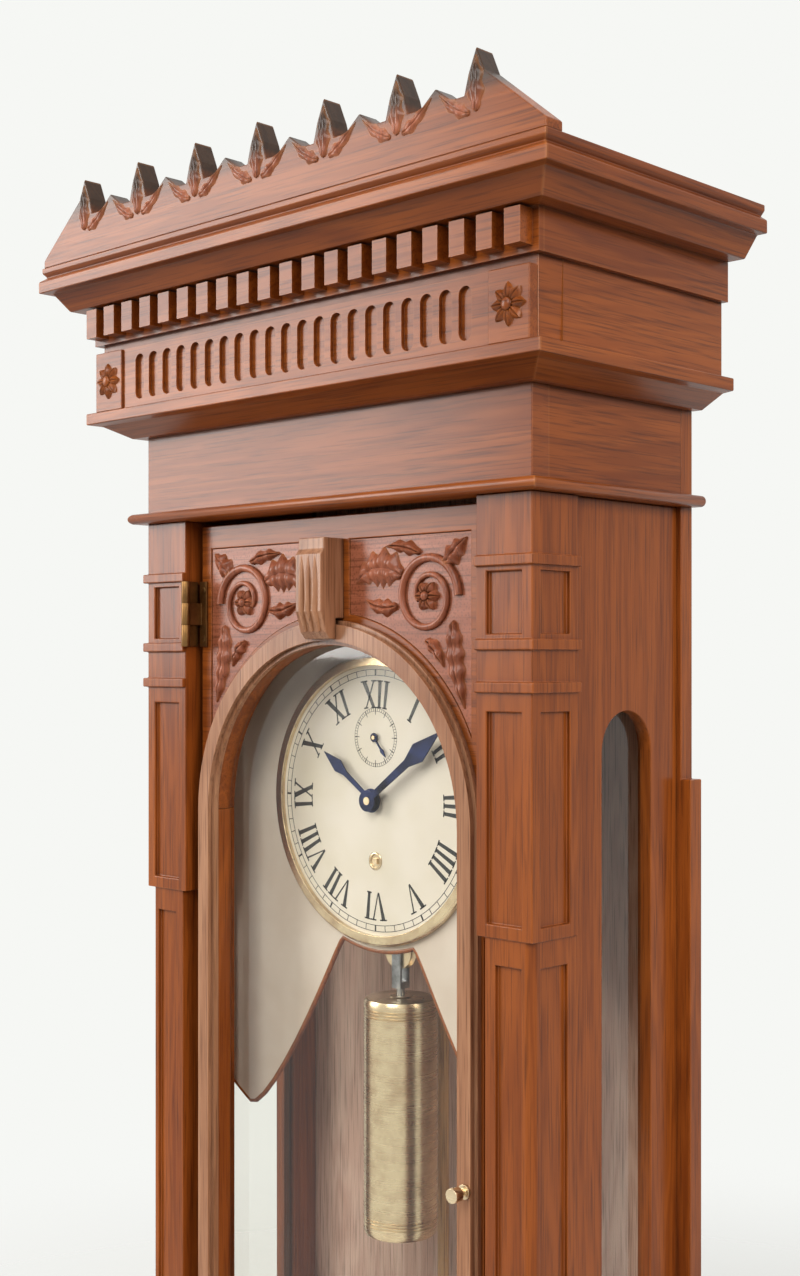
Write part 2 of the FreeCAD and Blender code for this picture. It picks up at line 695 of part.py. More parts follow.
right_frame = plate("right_side_frame", "YZ_Plane", [
    rectangle((POST_REAR, BACK_FACE), (FLOOR, BODY_TOP)), side_opening("0"),
], "side_thick")
side_rebate = new_sketch(right_frame, "side_rebate", "YZ_Plane", [side_opening("rebate")])
pocket(right_frame, side_rebate, "rebate", True)
done(place(right_frame, side_inner))
done(mirror("left_side_frame", right_frame))
right_pane = plate("right_pane", "YZ_Plane", [side_opening("rebate - pane_play")], "pane")
place(right_pane, f"{side_inner} + rebate - pane")
done(group("side_glasses", [right_pane, mirror("left_pane", right_pane)]))

# Mouldings: a profile of (out, up) corners run round the front and both sides with mitres
mitre = box("mitre_half", ("0", "mitre_block"), ("0", "mitre_block"), ("0", "3 * mitre_block"))
place(mitre, f"{SIDE} + mitre_block / 2 * sqrt(0.5)", f"{FRONT} - mitre_block / 2 * sqrt(0.5)",
      "-2 * mitre_block", FreeCAD.Rotation(V(0, 0, 1), 45))
left_mitre = mirror("left_mitre_half", mitre)


def shifted(profile, out, up):
    """The profile with its corners set out from a face and up from a level."""
    moved = []
    for item in profile:
        if isinstance(item, dict):
            u, v = item["centre"]
            moved.append(arc(out(u), f"{up} + {v}", item["ccw"]))
        else:
            moved.append((out(item[0]), f"{up} + {item[1]}"))
    return moved


def flipped(profile):
    """The same profile seen from the other side, so arcs turn the other way."""
    return [arc(*item["centre"], not item["ccw"]) if isinstance(item, dict) else item for item in profile]


def moulding(label, profile, foot, reach):
    front = plate(f"{label}_front", "YZ_Plane",
                  [shifted(flipped(profile), lambda u: f"{FRONT} - ({u})", foot)],
                  f"case_width + 4 * {reach}", both_ways=True)
    side = plate(f"{label}_side", "XZ_Plane", [shifted(profile, lambda u: f"{SIDE} + ({u})", foot)],
                 f"case_depth + 2 * {reach}")
    right_run = common(f"{label}_right", side, mitre)
    front_run = cut(f"{label}_middle", front, [mitre, left_mitre])
    return done(group(label, [front_run, right_run, mirror(f"{label}_left", right_run)]))


corona = "(cornice_rise - dentil_rise)"
moulding("cornice_moulding", [
    ("0", "0"), ("cornice_bed", "0"), ("cornice_bed + cornice_ovolo", f"0.42 * {corona}"),
    ("cornice_reach", f"0.42 * {corona}"), ("cornice_reach", f"0.68 * {corona}"),
    ("cornice_reach - cornice_cove", f"0.78 * {corona}"),
    ("cornice_reach - cornice_fillet", f"0.88 * {corona}"),
    ("cornice_reach - cornice_fillet", corona), ("0", corona),
], from_dial("dentil_rise"), "cornice_reach")
bead = "(frieze_rise - neck_rise)"
moulding("frieze_moulding", [
    ("0", "0"), ("0.25 * bead_reach", "0"),
    ("0.75 * bead_reach", f"0.5 * {bead}"), ("bead_reach", f"0.55 * {bead}"),
    ("bead_reach", bead), ("0", bead),
], from_dial("neck_rise"), "bead_reach")
round_in = "(astragal_reach - astragal_height / 2)"
moulding("astragal_moulding", [
    ("0", "0"), (round_in, "0"), arc(round_in, "astragal_height / 2", True),
    (round_in, "astragal_height"), ("0", "astragal_height"),
], BODY_TOP, "astragal_reach")
moulding("base_moulding", [
    ("0", "0"), ("0.35 * base_reach", "0"), ("0.8 * base_reach", "0.35 * base_height"),
    ("base_reach", "0.4 * base_height"), ("base_reach", "0.75 * base_height"),
    ("0.6 * base_reach", "base_height"), ("0", "base_height"),
], f"{FLOOR} - base_height", "base_reach")

# Frieze: boards with end blocks, a fluted panel and a course with dentils along the front
frieze_low = from_dial("frieze_rise")
frieze_high = from_dial("dentil_rise")
frieze_half = f"({SIDE} + frieze_reach)"
frieze_face = f"({FRONT} - frieze_reach)"
panel_high = from_dial("panel_rise")
frieze_right = box("frieze_right", (SIDE, frieze_half), (FRONT, "0"), (frieze_low, frieze_high))
end_right = box("frieze_end_right", (f"{frieze_half} - end_block", frieze_half),
                (f"{frieze_face} - end_proud", frieze_face), (frieze_low, panel_high))
done(group("frieze_boards", [
    box("frieze_front", even(frieze_half), (frieze_face, FRONT), (frieze_low, frieze_high)),
    frieze_right, mirror("frieze_left", frieze_right), end_right, mirror("frieze_end_left", end_right),
]))
panel_half = f"({frieze_half} - end_block)"
panel = plate("frieze_panel", "XZ_Plane", [rectangle(even(panel_half), (frieze_low, panel_high))],
              "panel_thick")
flutes = how_many(f"2 * ({panel_half} - flute_end) - flute_width", "flute_pitch")
flute_start = f"(-({flutes} - 1) / 2 * flute_pitch)"
flute_low = f"({frieze_low} + flute_margin + flute_width / 2)"
flute_high = f"({panel_high} - flute_margin - flute_width / 2)"
flute_left = f"{flute_start} - flute_width / 2"
flute_right = f"{flute_start} + flute_width / 2"
flute_sketch = new_sketch(panel, "flute", "XZ_Plane", [[
    (flute_left, flute_low), arc(flute_start, flute_low, True), (flute_right, flute_low),
    (flute_right, flute_high), arc(flute_start, flute_high, True), (flute_left, flute_high),
]], lift="panel_thick")
flute = pocket(panel, flute_sketch, "flute_depth")
repeat(panel, flute, flute_sketch, "H_Axis", f"({flutes} - 1) * flute_pitch", flutes)
done(place(panel, y=frieze_face))

dentil_low = f"({frieze_high} - dentil_height)"
front_dentils = plate("dentil_front", "XZ_Plane", [rectangle(
    even(f"{frieze_half} + dentil_strip"), (dentil_low, frieze_high))], "dentil_strip")
dentils = how_many(f"2 * {frieze_half} - dentil_width", "dentil_pitch")
first_dentil = f"(-({dentils} - 1) / 2 * dentil_pitch)"
tooth_sketch = new_sketch(front_dentils, "dentil", "XZ_Plane", [rectangle(
    (f"{first_dentil} - dentil_width / 2", f"{first_dentil} + dentil_width / 2"),
    (f"{dentil_low} + dentil_foot", f"{frieze_high} - dentil_head"))])
tooth = pad(front_dentils, tooth_sketch, "dentil_strip + dentil_reach")
repeat(front_dentils, tooth, tooth_sketch, "H_Axis", f"({dentils} - 1) * dentil_pitch", dentils)
place(front_dentils, y=frieze_face)
right_strip = plate("dentil_right", "YZ_Plane", [rectangle((frieze_face, "0"), (dentil_low, frieze_high))],
                    "dentil_strip")
place(right_strip, frieze_half)
done(group("dentil_course", [front_dentils, right_strip, mirror("dentil_left", right_strip)]))

# Cresting: a band with tall spikes and low knops, running down to a point at each end
crest_half = f"({SIDE} + cornice_reach - crest_setback)"
crest_low = from_dial("cornice_rise")
band_top = f"({crest_low} + crest_band)"
crest_tip = from_dial("crest_rise")
shoulder = f"({band_top} + 0.45 * ({crest_tip} - {band_top}))"
crest_end = f"{crest_low} + crest_end"
crest_outline = [(f"-{crest_half}", crest_low), (crest_half, crest_low), (crest_half, crest_end)]
spikes = how_many(f"2 * ({crest_half} - crest_run)", "crest_pitch")
for index in reversed(range(spikes)):
    middle = f"(({index} - {(spikes - 1) / 2}) * crest_pitch)"
    for shift, level in ((1, band_top), (0.65, shoulder), (0, crest_tip), (-0.65, shoulder), (-1, band_top)):
        if shift == 1 and index == spikes - 1:
            continue
        if shift == -1 and index == 0:
            continue
        crest_outline.append((f"{middle} + {shift} * spike_width / 2", level))
    if index:
        knop = f"({middle} - crest_pitch / 2)"
        crest_outline += [(f"{knop} + knop_width / 2", band_top), (knop, f"{band_top} + knop_height"),
                          (f"{knop} - knop_width / 2", band_top)]
crest_outline.append((f"-{crest_half}", crest_end))
cresting = plate("cresting", "XZ_Plane", [crest_outline], "crest_thick")
done(place(cresting, y=f"{FRONT} - cornice_reach + crest_setback + crest_thick"))

# Turned drops under the base
drop = "finial_length"
drops = []
for name, x, y, share in (
    ("right", f"{SIDE} - finial_inset", f"{FRONT} + finial_inset", "0.8"),
    ("left", f"-{SIDE} + finial_inset", f"{FRONT} + finial_inset", "0.8"),
    ("middle", "0", f"{FRONT} / 2", "1"),
):
    finial = turned(f"drop_{name}", [
        ("0", f"-{share} * {drop}"), (f"{share} * 0.25 * finial_radius", f"-{share} * 0.95 * {drop}"),
        (f"{share} * 0.3 * finial_radius", f"-{share} * 0.84 * {drop}"),
        (f"{share} * 0.85 * finial_radius", f"-{share} * 0.62 * {drop}"),
        (f"{share} * finial_radius", f"-{share} * 0.45 * {drop}"),
        (f"{share} * 0.6 * finial_radius", f"-{share} * 0.28 * {drop}"),
        (f"{share} * 0.55 * finial_radius", f"-{share} * 0.2 * {drop}"),
        (f"{share} * 1.1 * finial_radius", f"-{share} * 0.12 * {drop}"),
        (f"{share} * 1.1 * finial_radius", "0"), ("0", "0"),
    ])
    drops.append(place(finial, x, y, BASE_FOOT))
done(group("drop_finials", drops))

# Door frame
rebate_y = (f"{DOOR_REAR} - rebate - pane", DOOR_REAR)
door_y = (DOOR_FACE, DOOR_REAR)
spindle_x = f"({DOOR_HALF} - latch_inset)"
latch_z = from_dial("-latch_drop")
stile_rebate = box("stile_rebate", even(f"{OPENING} + rebate"), rebate_y, (f"{RAIL_TOP} - rebate", SPRING))
right_blank = box("right_stile_blank", (OPENING, DOOR_HALF), door_y, (DOOR_FOOT, SPRING))
left_blank = box("left_stile_blank", (f"-{DOOR_HALF}", f"-{OPENING}"), door_y, (DOOR_FOOT, SPRING))
spindle_hole = rod("spindle_hole", "spindle_radius + running_gap", "y", (spindle_x, latch_z),
                   (MOULDING_FACE, DOOR_REAR))
done(cut("door_right_stile", right_blank, [stile_rebate, spindle_hole]))
done(cut("door_left_stile", left_blank, [stile_rebate]))
done(cut("door_bottom_rail", box("rail_blank", even(OPENING), door_y, (DOOR_FOOT, RAIL_TOP)), [stile_rebate]))

head = plate("door_arch_head", "XZ_Plane", [[
    (f"-{DOOR_HALF}", SPRING), (f"-{OPENING}", SPRING), arc("0", SPRING, False), (OPENING, SPRING),
    (DOOR_HALF, SPRING), (DOOR_HALF, DOOR_TOP), (f"-{DOOR_HALF}", DOOR_TOP),
]], "door_thick")
big = f"({OPENING} + rebate)"
pocket(head, new_sketch(head, "head_rebate", "XZ_Plane", [[
    (f"-{big}", SPRING), (big, SPRING), arc("0", SPRING, True),
]]), "rebate + pane", True)


def spandrel(play):
    """The field between the arch moulding, the door edge and the keystone."""
    radius = f"({OPENING} + arch_band + spandrel_gap + {play})"
    key = f"(spandrel_key + {play})"
    side = f"({DOOR_HALF} - spandrel_side - {play})"
    top = f"({DOOR_TOP} - spandrel_top - {play})"
    return [
        (key, f"{SPRING} + sqrt({radius} ^ 2 - {key} ^ 2)"), (key, top), (side, top),
        (side, f"{SPRING} + sqrt({radius} ^ 2 - {side} ^ 2)"), arc("0", SPRING, True),
    ]


sunk = pocket(head, new_sketch(head, "spandrel_recess", "XZ_Plane", [spandrel("0")], lift="door_thick"),
              "spandrel_sunk")
both_sunk = head.newObject("PartDesign::Mirrored", "spandrel_recesses")
both_sunk.Originals = [sunk]
both_sunk.MirrorPlane = (origin_plane(head, "YZ_Plane"), [""])
head.Tip = both_sunk
done(place(head, y=DOOR_REAR))
right_spandrel = plate("spandrel_right", "XZ_Plane", [spandrel("spandrel_play")], "spandrel_thick")
place(right_spandrel, y=f"{DOOR_FACE} + spandrel_sunk")
done(group("spandrel_panels", [right_spandrel, mirror("spandrel_left", right_spandrel)]))


def arch_ring(inner, outer):
    """A band round the arched opening with legs down to the bottom rail."""
    return [
        (outer, RAIL_TOP), (outer, SPRING), arc("0", SPRING, True), (f"-({outer})", SPRING),
        (f"-({outer})", RAIL_TOP), (f"-({inner})", RAIL_TOP), (f"-({inner})", SPRING),
        arc("0", SPRING, False), (inner, SPRING), (inner, RAIL_TOP),
    ]


band = plate("arch_blank", "XZ_Plane", [arch_ring(OPENING, f"{OPENING} + arch_band")], "arch_proud / 2")
pad(band, new_sketch(band, "arch_upper", "XZ_Plane", [
    arch_ring(f"{OPENING} + arch_step", f"{OPENING} + arch_band - arch_step")]), "arch_proud")
place(band, y=DOOR_FACE)
done(cut("arch_moulding", band, [spindle_hole]))
ring_top = f"({SPRING} + {OPENING} + arch_band + keystone_seat)"
stone_face = f"({DOOR_FACE} - keystone_proud)"
stone_top = f"({DOOR_TOP} - keystone_top)"
stone_foot = f"({SPRING} + {OPENING} + keystone_foot)"
done(plate("keystone", "YZ_Plane", [[
    (DOOR_FACE, ring_top), (DOOR_FACE, stone_top), (f"{stone_face} + keystone_inset", stone_top),
    (f"{stone_face} + keystone_inset", f"{stone_top} - keystone_cap"),
    (stone_face, f"{stone_top} - keystone_cap - keystone_slope"),
    (stone_face, f"{stone_foot} + keystone_curl"),
    (f"{stone_face} + keystone_chin", f"{stone_foot} + keystone_chin"),
    (f"{stone_face} + keystone_toe", stone_foot), (MOULDING_FACE, stone_foot), (MOULDING_FACE, ring_top),
]], "keystone_width", both_ways=True))
pane_half = f"({OPENING} + rebate - pane_play)"
glass = plate("door_glass", "XZ_Plane", [
    arched("0", pane_half, f"{RAIL_TOP} - rebate + pane_play", SPRING)], "pane")
done(place(glass, y=f"{DOOR_REAR} - rebate"))

# Cranked hinges: the pin stands in front of the left post
pin_x = f"(-{POST_IN} + knuckle_in)"
pin_y = f"({FRONT} - knuckle_out)"
case_leaves = []
door_leaves = []
for name, middle in (("high", f"({DOOR_TOP} - hinge_high)"), ("low", f"({DOOR_FOOT} + hinge_low)")):
    low = f"({middle} - hinge_height / 2)"
    high = f"({middle} + hinge_height / 2)"
    third = f"({low} + hinge_height / 3)"
    two_thirds = f"({low} + hinge_height * 2 / 3)"
    leaf = box(f"case_leaf_{name}", (f"-{POST_IN}", f"-{POST_IN} + leaf_thick"),
               (pin_y, f"{DOOR_FACE} - leaf_thick"), (low, high))
    barrel = rod(f"case_barrel_{name}", "knuckle_radius", "z", (pin_x, pin_y), (low, high))
    room = box(f"case_gap_{name}", (f"{pin_x} - knuckle_radius", f"{pin_x} + 2 * knuckle_radius"),
               (f"{pin_y} - 2 * knuckle_radius", f"{pin_y} + 2 * knuckle_radius"),
               (f"{third} - running_gap", f"{two_thirds} + running_gap"))
    pin_room = rod(f"pin_room_{name}", "pin_radius + running_gap", "z", (pin_x, pin_y), (low, high))
    case_leaves.append(cut(f"case_hinge_{name}", fuse(f"case_hinge_blank_{name}", [leaf, barrel]),
                           [room, pin_room]))
    case_leaves.append(rod(f"hinge_pin_{name}", "pin_radius", "z", (pin_x, pin_y), (low, high)))
    crank = box(f"door_crank_{name}", (pin_x, f"{pin_x} + leaf_thick"), (pin_y, DOOR_FACE),
                (third, two_thirds))
    strap = box(f"door_strap_{name}", (pin_x, f"{pin_x} + leaf_width"),
                (f"{DOOR_FACE} - leaf_thick", DOOR_FACE), (low, high))
    knuckle = rod(f"door_knuckle_{name}", "knuckle_radius", "z", (pin_x, pin_y), (third, two_thirds))
    door_leaves.append(cut(f"door_hinge_{name}", fuse(f"door_hinge_blank_{name}", [crank, strap, knuckle]),
                           [pin_room]))
done(group("case_hinge_leaves", case_leaves))
done(group("door_hinge_leaves", door_leaves))

# Door latch: knob, spindle and a tongue that turns behind the right post
tongue_y = (f"{POST_REAR} + tongue_gap", f"{POST_REAR} + tongue_gap + tongue_thick")
done(fuse("door_latch", [
    rod("latch_spindle", "spindle_radius", "y", (spindle_x, latch_z),
        (f"{MOULDING_FACE} - latch_reach", tongue_y[1])),
    rod("latch_rose", "latch_radius", "y", (spindle_x, latch_z),
        (f"{MOULDING_FACE} - rose_thick", MOULDING_FACE)),
    rod("latch_knob", "latch_radius", "y", (spindle_x, latch_z),
        (f"{MOULDING_FACE} - latch_reach", f"{MOULDING_FACE} - latch_reach + latch_length")),
    box("latch_tongue", (f"{spindle_x} - tongue_width / 2", f"{spindle_x} + tongue_width / 2"), tongue_y,
        (f"{latch_z} - tongue_length", f"{latch_z} + tongue_width / 2")),
]))

# Movement frame: plates, pillars, dial feet and the bracket that carries them
front_plate_y = (behind("plate_front"), behind("plate_front + plate_thick"))
back_plate_y = (behind("plate_back - plate_thick"), behind("plate_back"))
inside_y = (front_plate_y[1], back_plate_y[0])
great_drop = f"(({GREAT_TEETH} + {CENTRE_LEAVES}) * great_module / 2)"
great_z = from_dial(f"-{great_drop}")
third_gap = f"(({CENTRE_TEETH} + {THIRD_LEAVES}) * centre_module / 2)"
third_z = from_dial(f"sqrt({third_gap} ^ 2 - third_across ^ 2)")
escape_gap = f"(({THIRD_TEETH} + {ESCAPE_LEAVES}) * third_module / 2)"
escape_z = f"({third_z} + sqrt({escape_gap} ^ 2 - third_across ^ 2))"
minute_gap = f"(({CANNON_TEETH} + {MINUTE_TEETH}) * cannon_module / 2)"
hour_module = value(f"2 * {minute_gap} / ({MINUTE_LEAVES} + {HOUR_TEETH})")
plate_z = (from_dial("-plate_fall"), from_dial("plate_rise"))
holes = (
    ("centre", "0", DIAL_Z, "centre_radius"), ("great", "0", great_z, "winding_radius"),
    ("third", "third_across", third_z, "arbor_radius"), ("escape", "0", escape_z, "arbor_radius"),
    ("anchor", "0", FLEX_Z, "arbor_radius"), ("minute", f"-{minute_gap}", DIAL_Z, "arbor_radius"),
)
for label, span in (("front_plate", front_plate_y), ("back_plate", back_plate_y)):
    bores = [rod(f"{label}_{name}_bore", f"{radius} + running_gap", "y", (x, z), span)
             for name, x, z, radius in holes if label == "front_plate" or name != "minute"]
    done(cut(label, box(f"{label}_blank", even("plate_half"), span, plate_z), bores))
pillars = []
stud_z = from_dial("-plate_fall + 2 * stud_radius")
plate_corners = (("1", "", plate_z[0]), ("2", "-", plate_z[0]), ("3", "", plate_z[1]), ("4", "-", plate_z[1]))
for name, side, z in plate_corners:
    inward = "+" if z == plate_z[0] else "-"
    pillars.append(rod(f"pillar_{name}", "pillar_radius", "y",
                       (f"{side}(plate_half - 2 * pillar_radius)", f"{z} {inward} 2 * pillar_radius"),
                       inside_y))
    pillars.append(rod(f"dial_foot_{name}", "foot_radius", "y",
                       (f"{side}foot_across", f"{z} {inward} foot_inset"),
                       (behind("dial_depth + dial_thick"), front_plate_y[0])))
pillars.append(rod("line_stud", "stud_radius", "y", ("line_wrap", stud_z), inside_y))
done(group("movement_pillars", pillars))
bracket_z = from_dial("-bracket_drop")
arm_z = (f"{bracket_z} - bracket_arm / 2", f"{bracket_z} + bracket_arm / 2")
right_arm = box("bracket_right", ("bracket_half - bracket_arm / 2", "bracket_half + bracket_arm / 2"),
                (behind("plate_back"), BACK_FACE), arm_z)
done(fuse("movement_bracket", [
    right_arm, mirror("bracket_left", right_arm),
    box("bracket_bar", even("bracket_half + 2 * bracket_arm"), (f"{BACK_FACE} - bracket_arm / 2", BACK_FACE),
        (f"{bracket_z} - bracket_arm", f"{bracket_z} + 2 * bracket_arm")),
]))

# Dial and bezel
dial_y = (behind("dial_depth"), behind("dial_depth + dial_thick"))
dial_face = plate("dial", "XZ_Plane", [], "dial_thick", circles=[
    ("0", DIAL_Z, DIAL_RADIUS), ("0", DIAL_Z, "pipe_radius + pipe_room"),
    ("0", great_z, "winding_radius + key_room"), ("0", escape_z, "arbor_radius + second_room"),
])
done(place(dial_face, y=dial_y[1]))
bezel = turned("dial_bezel", [
    (f"{DIAL_RADIUS} - bezel_lip", "-bezel_proud"), (f"{DIAL_RADIUS} + bezel_wall / 2", "-bezel_proud"),
    (f"{DIAL_RADIUS} + bezel_wall", "-bezel_proud / 2"), (f"{DIAL_RADIUS} + bezel_wall", "dial_thick"),
    (DIAL_RADIUS, "dial_thick"), (DIAL_RADIUS, "0"), (f"{DIAL_RADIUS} - bezel_lip", "0"),
], "y")
done(place(bezel, "0", dial_y[0], DIAL_Z))


# Wheels and pinions: straight-sided teeth with plenty of backlash
WHEEL_TOOTH = ((-1.35, 0.42), (0, 0.40), (0.95, 0.16))
PINION_LEAF = ((-1.35, 0.30), (0, 0.34), (0.65, 0.16))


def gear_blank(teeth, module, form, phase, thick, bore):
    """A toothed disc in the XZ plane; form gives (height, width) as shares of module and pitch."""
    pitch = 2 * math.pi / teeth
    points = []
    for index in range(teeth):
        flanks = [(height, -width) for height, width in form]
        flanks += reversed(form)
        for height, width in flanks:
            radius = teeth * module / 2 + height * module
            angle = phase + pitch * (index + width / 2)
            points.append(V(radius * math.cos(angle), 0, radius * math.sin(angle)))
    face = Part.Face(Part.makePolygon(points + points[:1]))
    solid = face.extrude(V(0, thick, 0))
    return solid.cut(Part.makeCylinder(bore, thick, V(), V(0, 1, 0))) if bore else solid


def saw_blank(teeth, root, tip, thick, bore):
    """A disc with raked teeth, as on an escape wheel or a ratchet."""
    pitch = 2 * math.pi / teeth
    points = []
    for index in range(teeth):
        for radius, share in ((root, 0.0), (tip, 0.12), (tip, 0.2), (root, 0.3)):
            angle = pitch * (index + share)
            points.append(V(radius * math.cos(angle), 0, radius * math.sin(angle)))
    solid = Part.Face(Part.makePolygon(points + points[:1])).extrude(V(0, thick, 0))
    return solid.cut(Part.makeCylinder(bore, thick, V(), V(0, 1, 0))) if bore else solid


def crossed(solid, inner, outer, thick):
    """Open a wheel out between its hub and its rim."""
    radius = (outer - inner) / 2
    for index in range(CROSSINGS):
        angle = 2 * math.pi * (index + 0.5) / CROSSINGS
        middle = V((inner + radius) * math.cos(angle), 0, (inner + radius) * math.sin(angle))
        solid = solid.cut(Part.makeCylinder(radius, thick, middle, V(0, 1, 0)))
    return solid


def shaped(label, solid, x, y, z):
    """A piece whose outline is worked out point by point, set in its place."""
    piece = doc.addObject("Part::Feature", label)
    piece.Shape = solid
    return place(piece, x, y, z)


thick = value("wheel_thick")
leaf_length = value("pinion_length")
toward_third = math.atan2(value(f"{third_z} + dial_drop"), value("third_across"))
third_to_escape = math.atan2(value(f"{escape_z} - {third_z}"), -value("third_across"))
great_y = behind("plate_back - great_layer")
centre_y = behind("plate_back - centre_layer")
third_y = behind("plate_back - third_layer")
escape_y = behind("plate_back - escape_layer")
arbor_y = (f"{front_plate_y[0]} - pivot_end", f"{back_plate_y[1]} + pivot_end")
rim = value("rim_width")


def pinion(label, leaves, module, phase, x, wheel_y, z):
    """A pinion centred on the wheel that it meets."""
    start = f"{wheel_y} + wheel_thick / 2 - pinion_length / 2"
    return shaped(label, gear_blank(leaves, module, PINION_LEAF, phase, leaf_length, 0), x, start, z)


great_module = value("great_module")
great_radius = GREAT_TEETH * great_module / 2
great_blank = gear_blank(GREAT_TEETH, great_module, WHEEL_TOOTH, math.pi / 2, thick,
                         value("winding_radius + running_gap"))
great_blank = crossed(great_blank, value("great_hub"), great_radius - rim, thick)
great_wheel = shaped("great_disc", great_blank, "0", great_y, great_z)
click_reach = "(drum_flange + click_gap)"
great_click = box("great_click", (f"-{click_reach} - click_width", f"-{click_reach}"),
                  (f"{great_y} - wheel_thick", great_y),
                  (f"{great_z} - click_half", f"{great_z} + click_half"))
done(group("great_wheel", [great_wheel, great_click]))

drum_core = "(line_wrap - line_radius - line_gap)"
ratchet_y = f"{great_y} - wheel_thick - ratchet_gap"
drum_y = (f"{front_plate_y[1]} + drum_gap", ratchet_y)
ratchet_tip = value("drum_flange + ratchet_proud")
ratchet_root = ratchet_tip - value("ratchet_depth")
ratchet = shaped("ratchet", saw_blank(RATCHET_TEETH, ratchet_root, ratchet_tip, thick, 0),
                 "0", ratchet_y, great_z)
square_half = "(winding_radius * 0.7)"
done(fuse("winding_drum", [
    rod("drum_body", drum_core, "y", ("0", great_z), drum_y),
    rod("drum_front", "drum_flange", "y", ("0", great_z), (drum_y[0], f"{drum_y[0]} + flange_thick")),
    rod("drum_arbor", "winding_radius", "y", ("0", great_z), arbor_y), ratchet,
    box("winding_square", even(square_half), (f"{dial_y[0]} - square_proud", front_plate_y[0]),
        (f"{great_z} - {square_half}", f"{great_z} + {square_half}")),
]))

centre_blank = crossed(gear_blank(CENTRE_TEETH, value("centre_module"), WHEEL_TOOTH, toward_third, thick, 0),
                       value("centre_hub"), CENTRE_TEETH * value("centre_module") / 2 - rim, thick)
cannon_y = (f"{front_plate_y[0]} - cannon_gap - cannon_length", f"{front_plate_y[0]} - cannon_gap")
cannon_front = f"({dial_y[0]} - cannon_proud)"
cannon_blank = gear_blank(CANNON_TEETH, value("cannon_module"), PINION_LEAF, math.pi / CANNON_TEETH + math.pi,
                          value("cannon_length"), 0)
done(fuse("centre_wheel", [
    shaped("centre_disc", centre_blank, "0", centre_y, DIAL_Z),
    pinion("centre_pinion", CENTRE_LEAVES, great_module, -math.pi / 2 + math.pi / CENTRE_LEAVES,
           "0", great_y, DIAL_Z),
    rod("centre_arbor", "centre_radius", "y", ("0", DIAL_Z), (cannon_y[1], arbor_y[1])),
    rod("cannon_tube", "cannon_radius", "y", ("0", DIAL_Z), (cannon_front, cannon_y[1])),
    shaped("cannon_pinion", cannon_blank, "0", cannon_y[0], DIAL_Z),
]))

third_blank = crossed(gear_blank(THIRD_TEETH, value("third_module"), WHEEL_TOOTH, third_to_escape, thick, 0),
                      value("third_hub"), THIRD_TEETH * value("third_module") / 2 - rim, thick)
done(fuse("third_wheel", [
    shaped("third_disc", third_blank, "third_across", third_y, third_z),
    pinion("third_pinion", THIRD_LEAVES, value("centre_module"),
           toward_third + math.pi + math.pi / THIRD_LEAVES, "third_across", centre_y, third_z),
    rod("third_arbor", "arbor_radius", "y", ("third_across", third_z), arbor_y),
]))

escape_tip = value("escape_radius")
escape_root = escape_tip - value("escape_depth")
escape_blank = crossed(saw_blank(ESCAPE_TEETH, escape_root, escape_tip, thick, 0),
                       value("escape_hub"), escape_root - value("escape_rim"), thick)
done(fuse("escape_wheel", [
    shaped("escape_disc", escape_blank, "0", escape_y, escape_z),
    pinion("escape_pinion", ESCAPE_LEAVES, value("third_module"),
           third_to_escape + math.pi + math.pi / ESCAPE_LEAVES, "0", third_y, escape_z),
    rod("escape_arbor", "arbor_radius", "y", ("0", escape_z), (f"{dial_y[0]} - second_proud", arbor_y[1])),
]))

minute_x = f"-{minute_gap}"
minute_wheel_y = f"({cannon_y[0]} + (cannon_length - wheel_thick) / 2)"
minute_pinion_y = f"({minute_wheel_y} - minute_leaf)"
hour_wheel_y = f"({minute_pinion_y} + hour_seat)"
done(fuse("minute_wheel", [
    shaped("minute_disc", gear_blank(MINUTE_TEETH, value("cannon_module"), WHEEL_TOOTH, 0, thick, 0),
           minute_x, minute_wheel_y, DIAL_Z),
    shaped("minute_pinion", gear_blank(MINUTE_LEAVES, hour_module, PINION_LEAF, math.pi / MINUTE_LEAVES,
                                       value("minute_leaf"), 0), minute_x, minute_pinion_y, DIAL_Z),
    rod("minute_stud", "arbor_radius", "y", (minute_x, DIAL_Z), (minute_wheel_y, front_plate_y[1])),
]))
pipe_bore = "(cannon_radius + running_gap)"
hour_disc = shaped("hour_disc", gear_blank(HOUR_TEETH, hour_module, WHEEL_TOOTH, math.pi, thick, 0),
                   "0", hour_wheel_y, DIAL_Z)
pipe_front = f"({dial_y[0]} - pipe_proud)"
hour_pipe = rod("hour_pipe", "pipe_radius", "y", ("0", DIAL_Z), (pipe_front, f"{hour_wheel_y} + wheel_thick"))
done(cut("hour_wheel", fuse("hour_blank", [hour_disc, hour_pipe]), [
    rod("hour_bore", pipe_bore, "y", ("0", DIAL_Z), (pipe_front, f"{hour_wheel_y} + wheel_thick"))]))

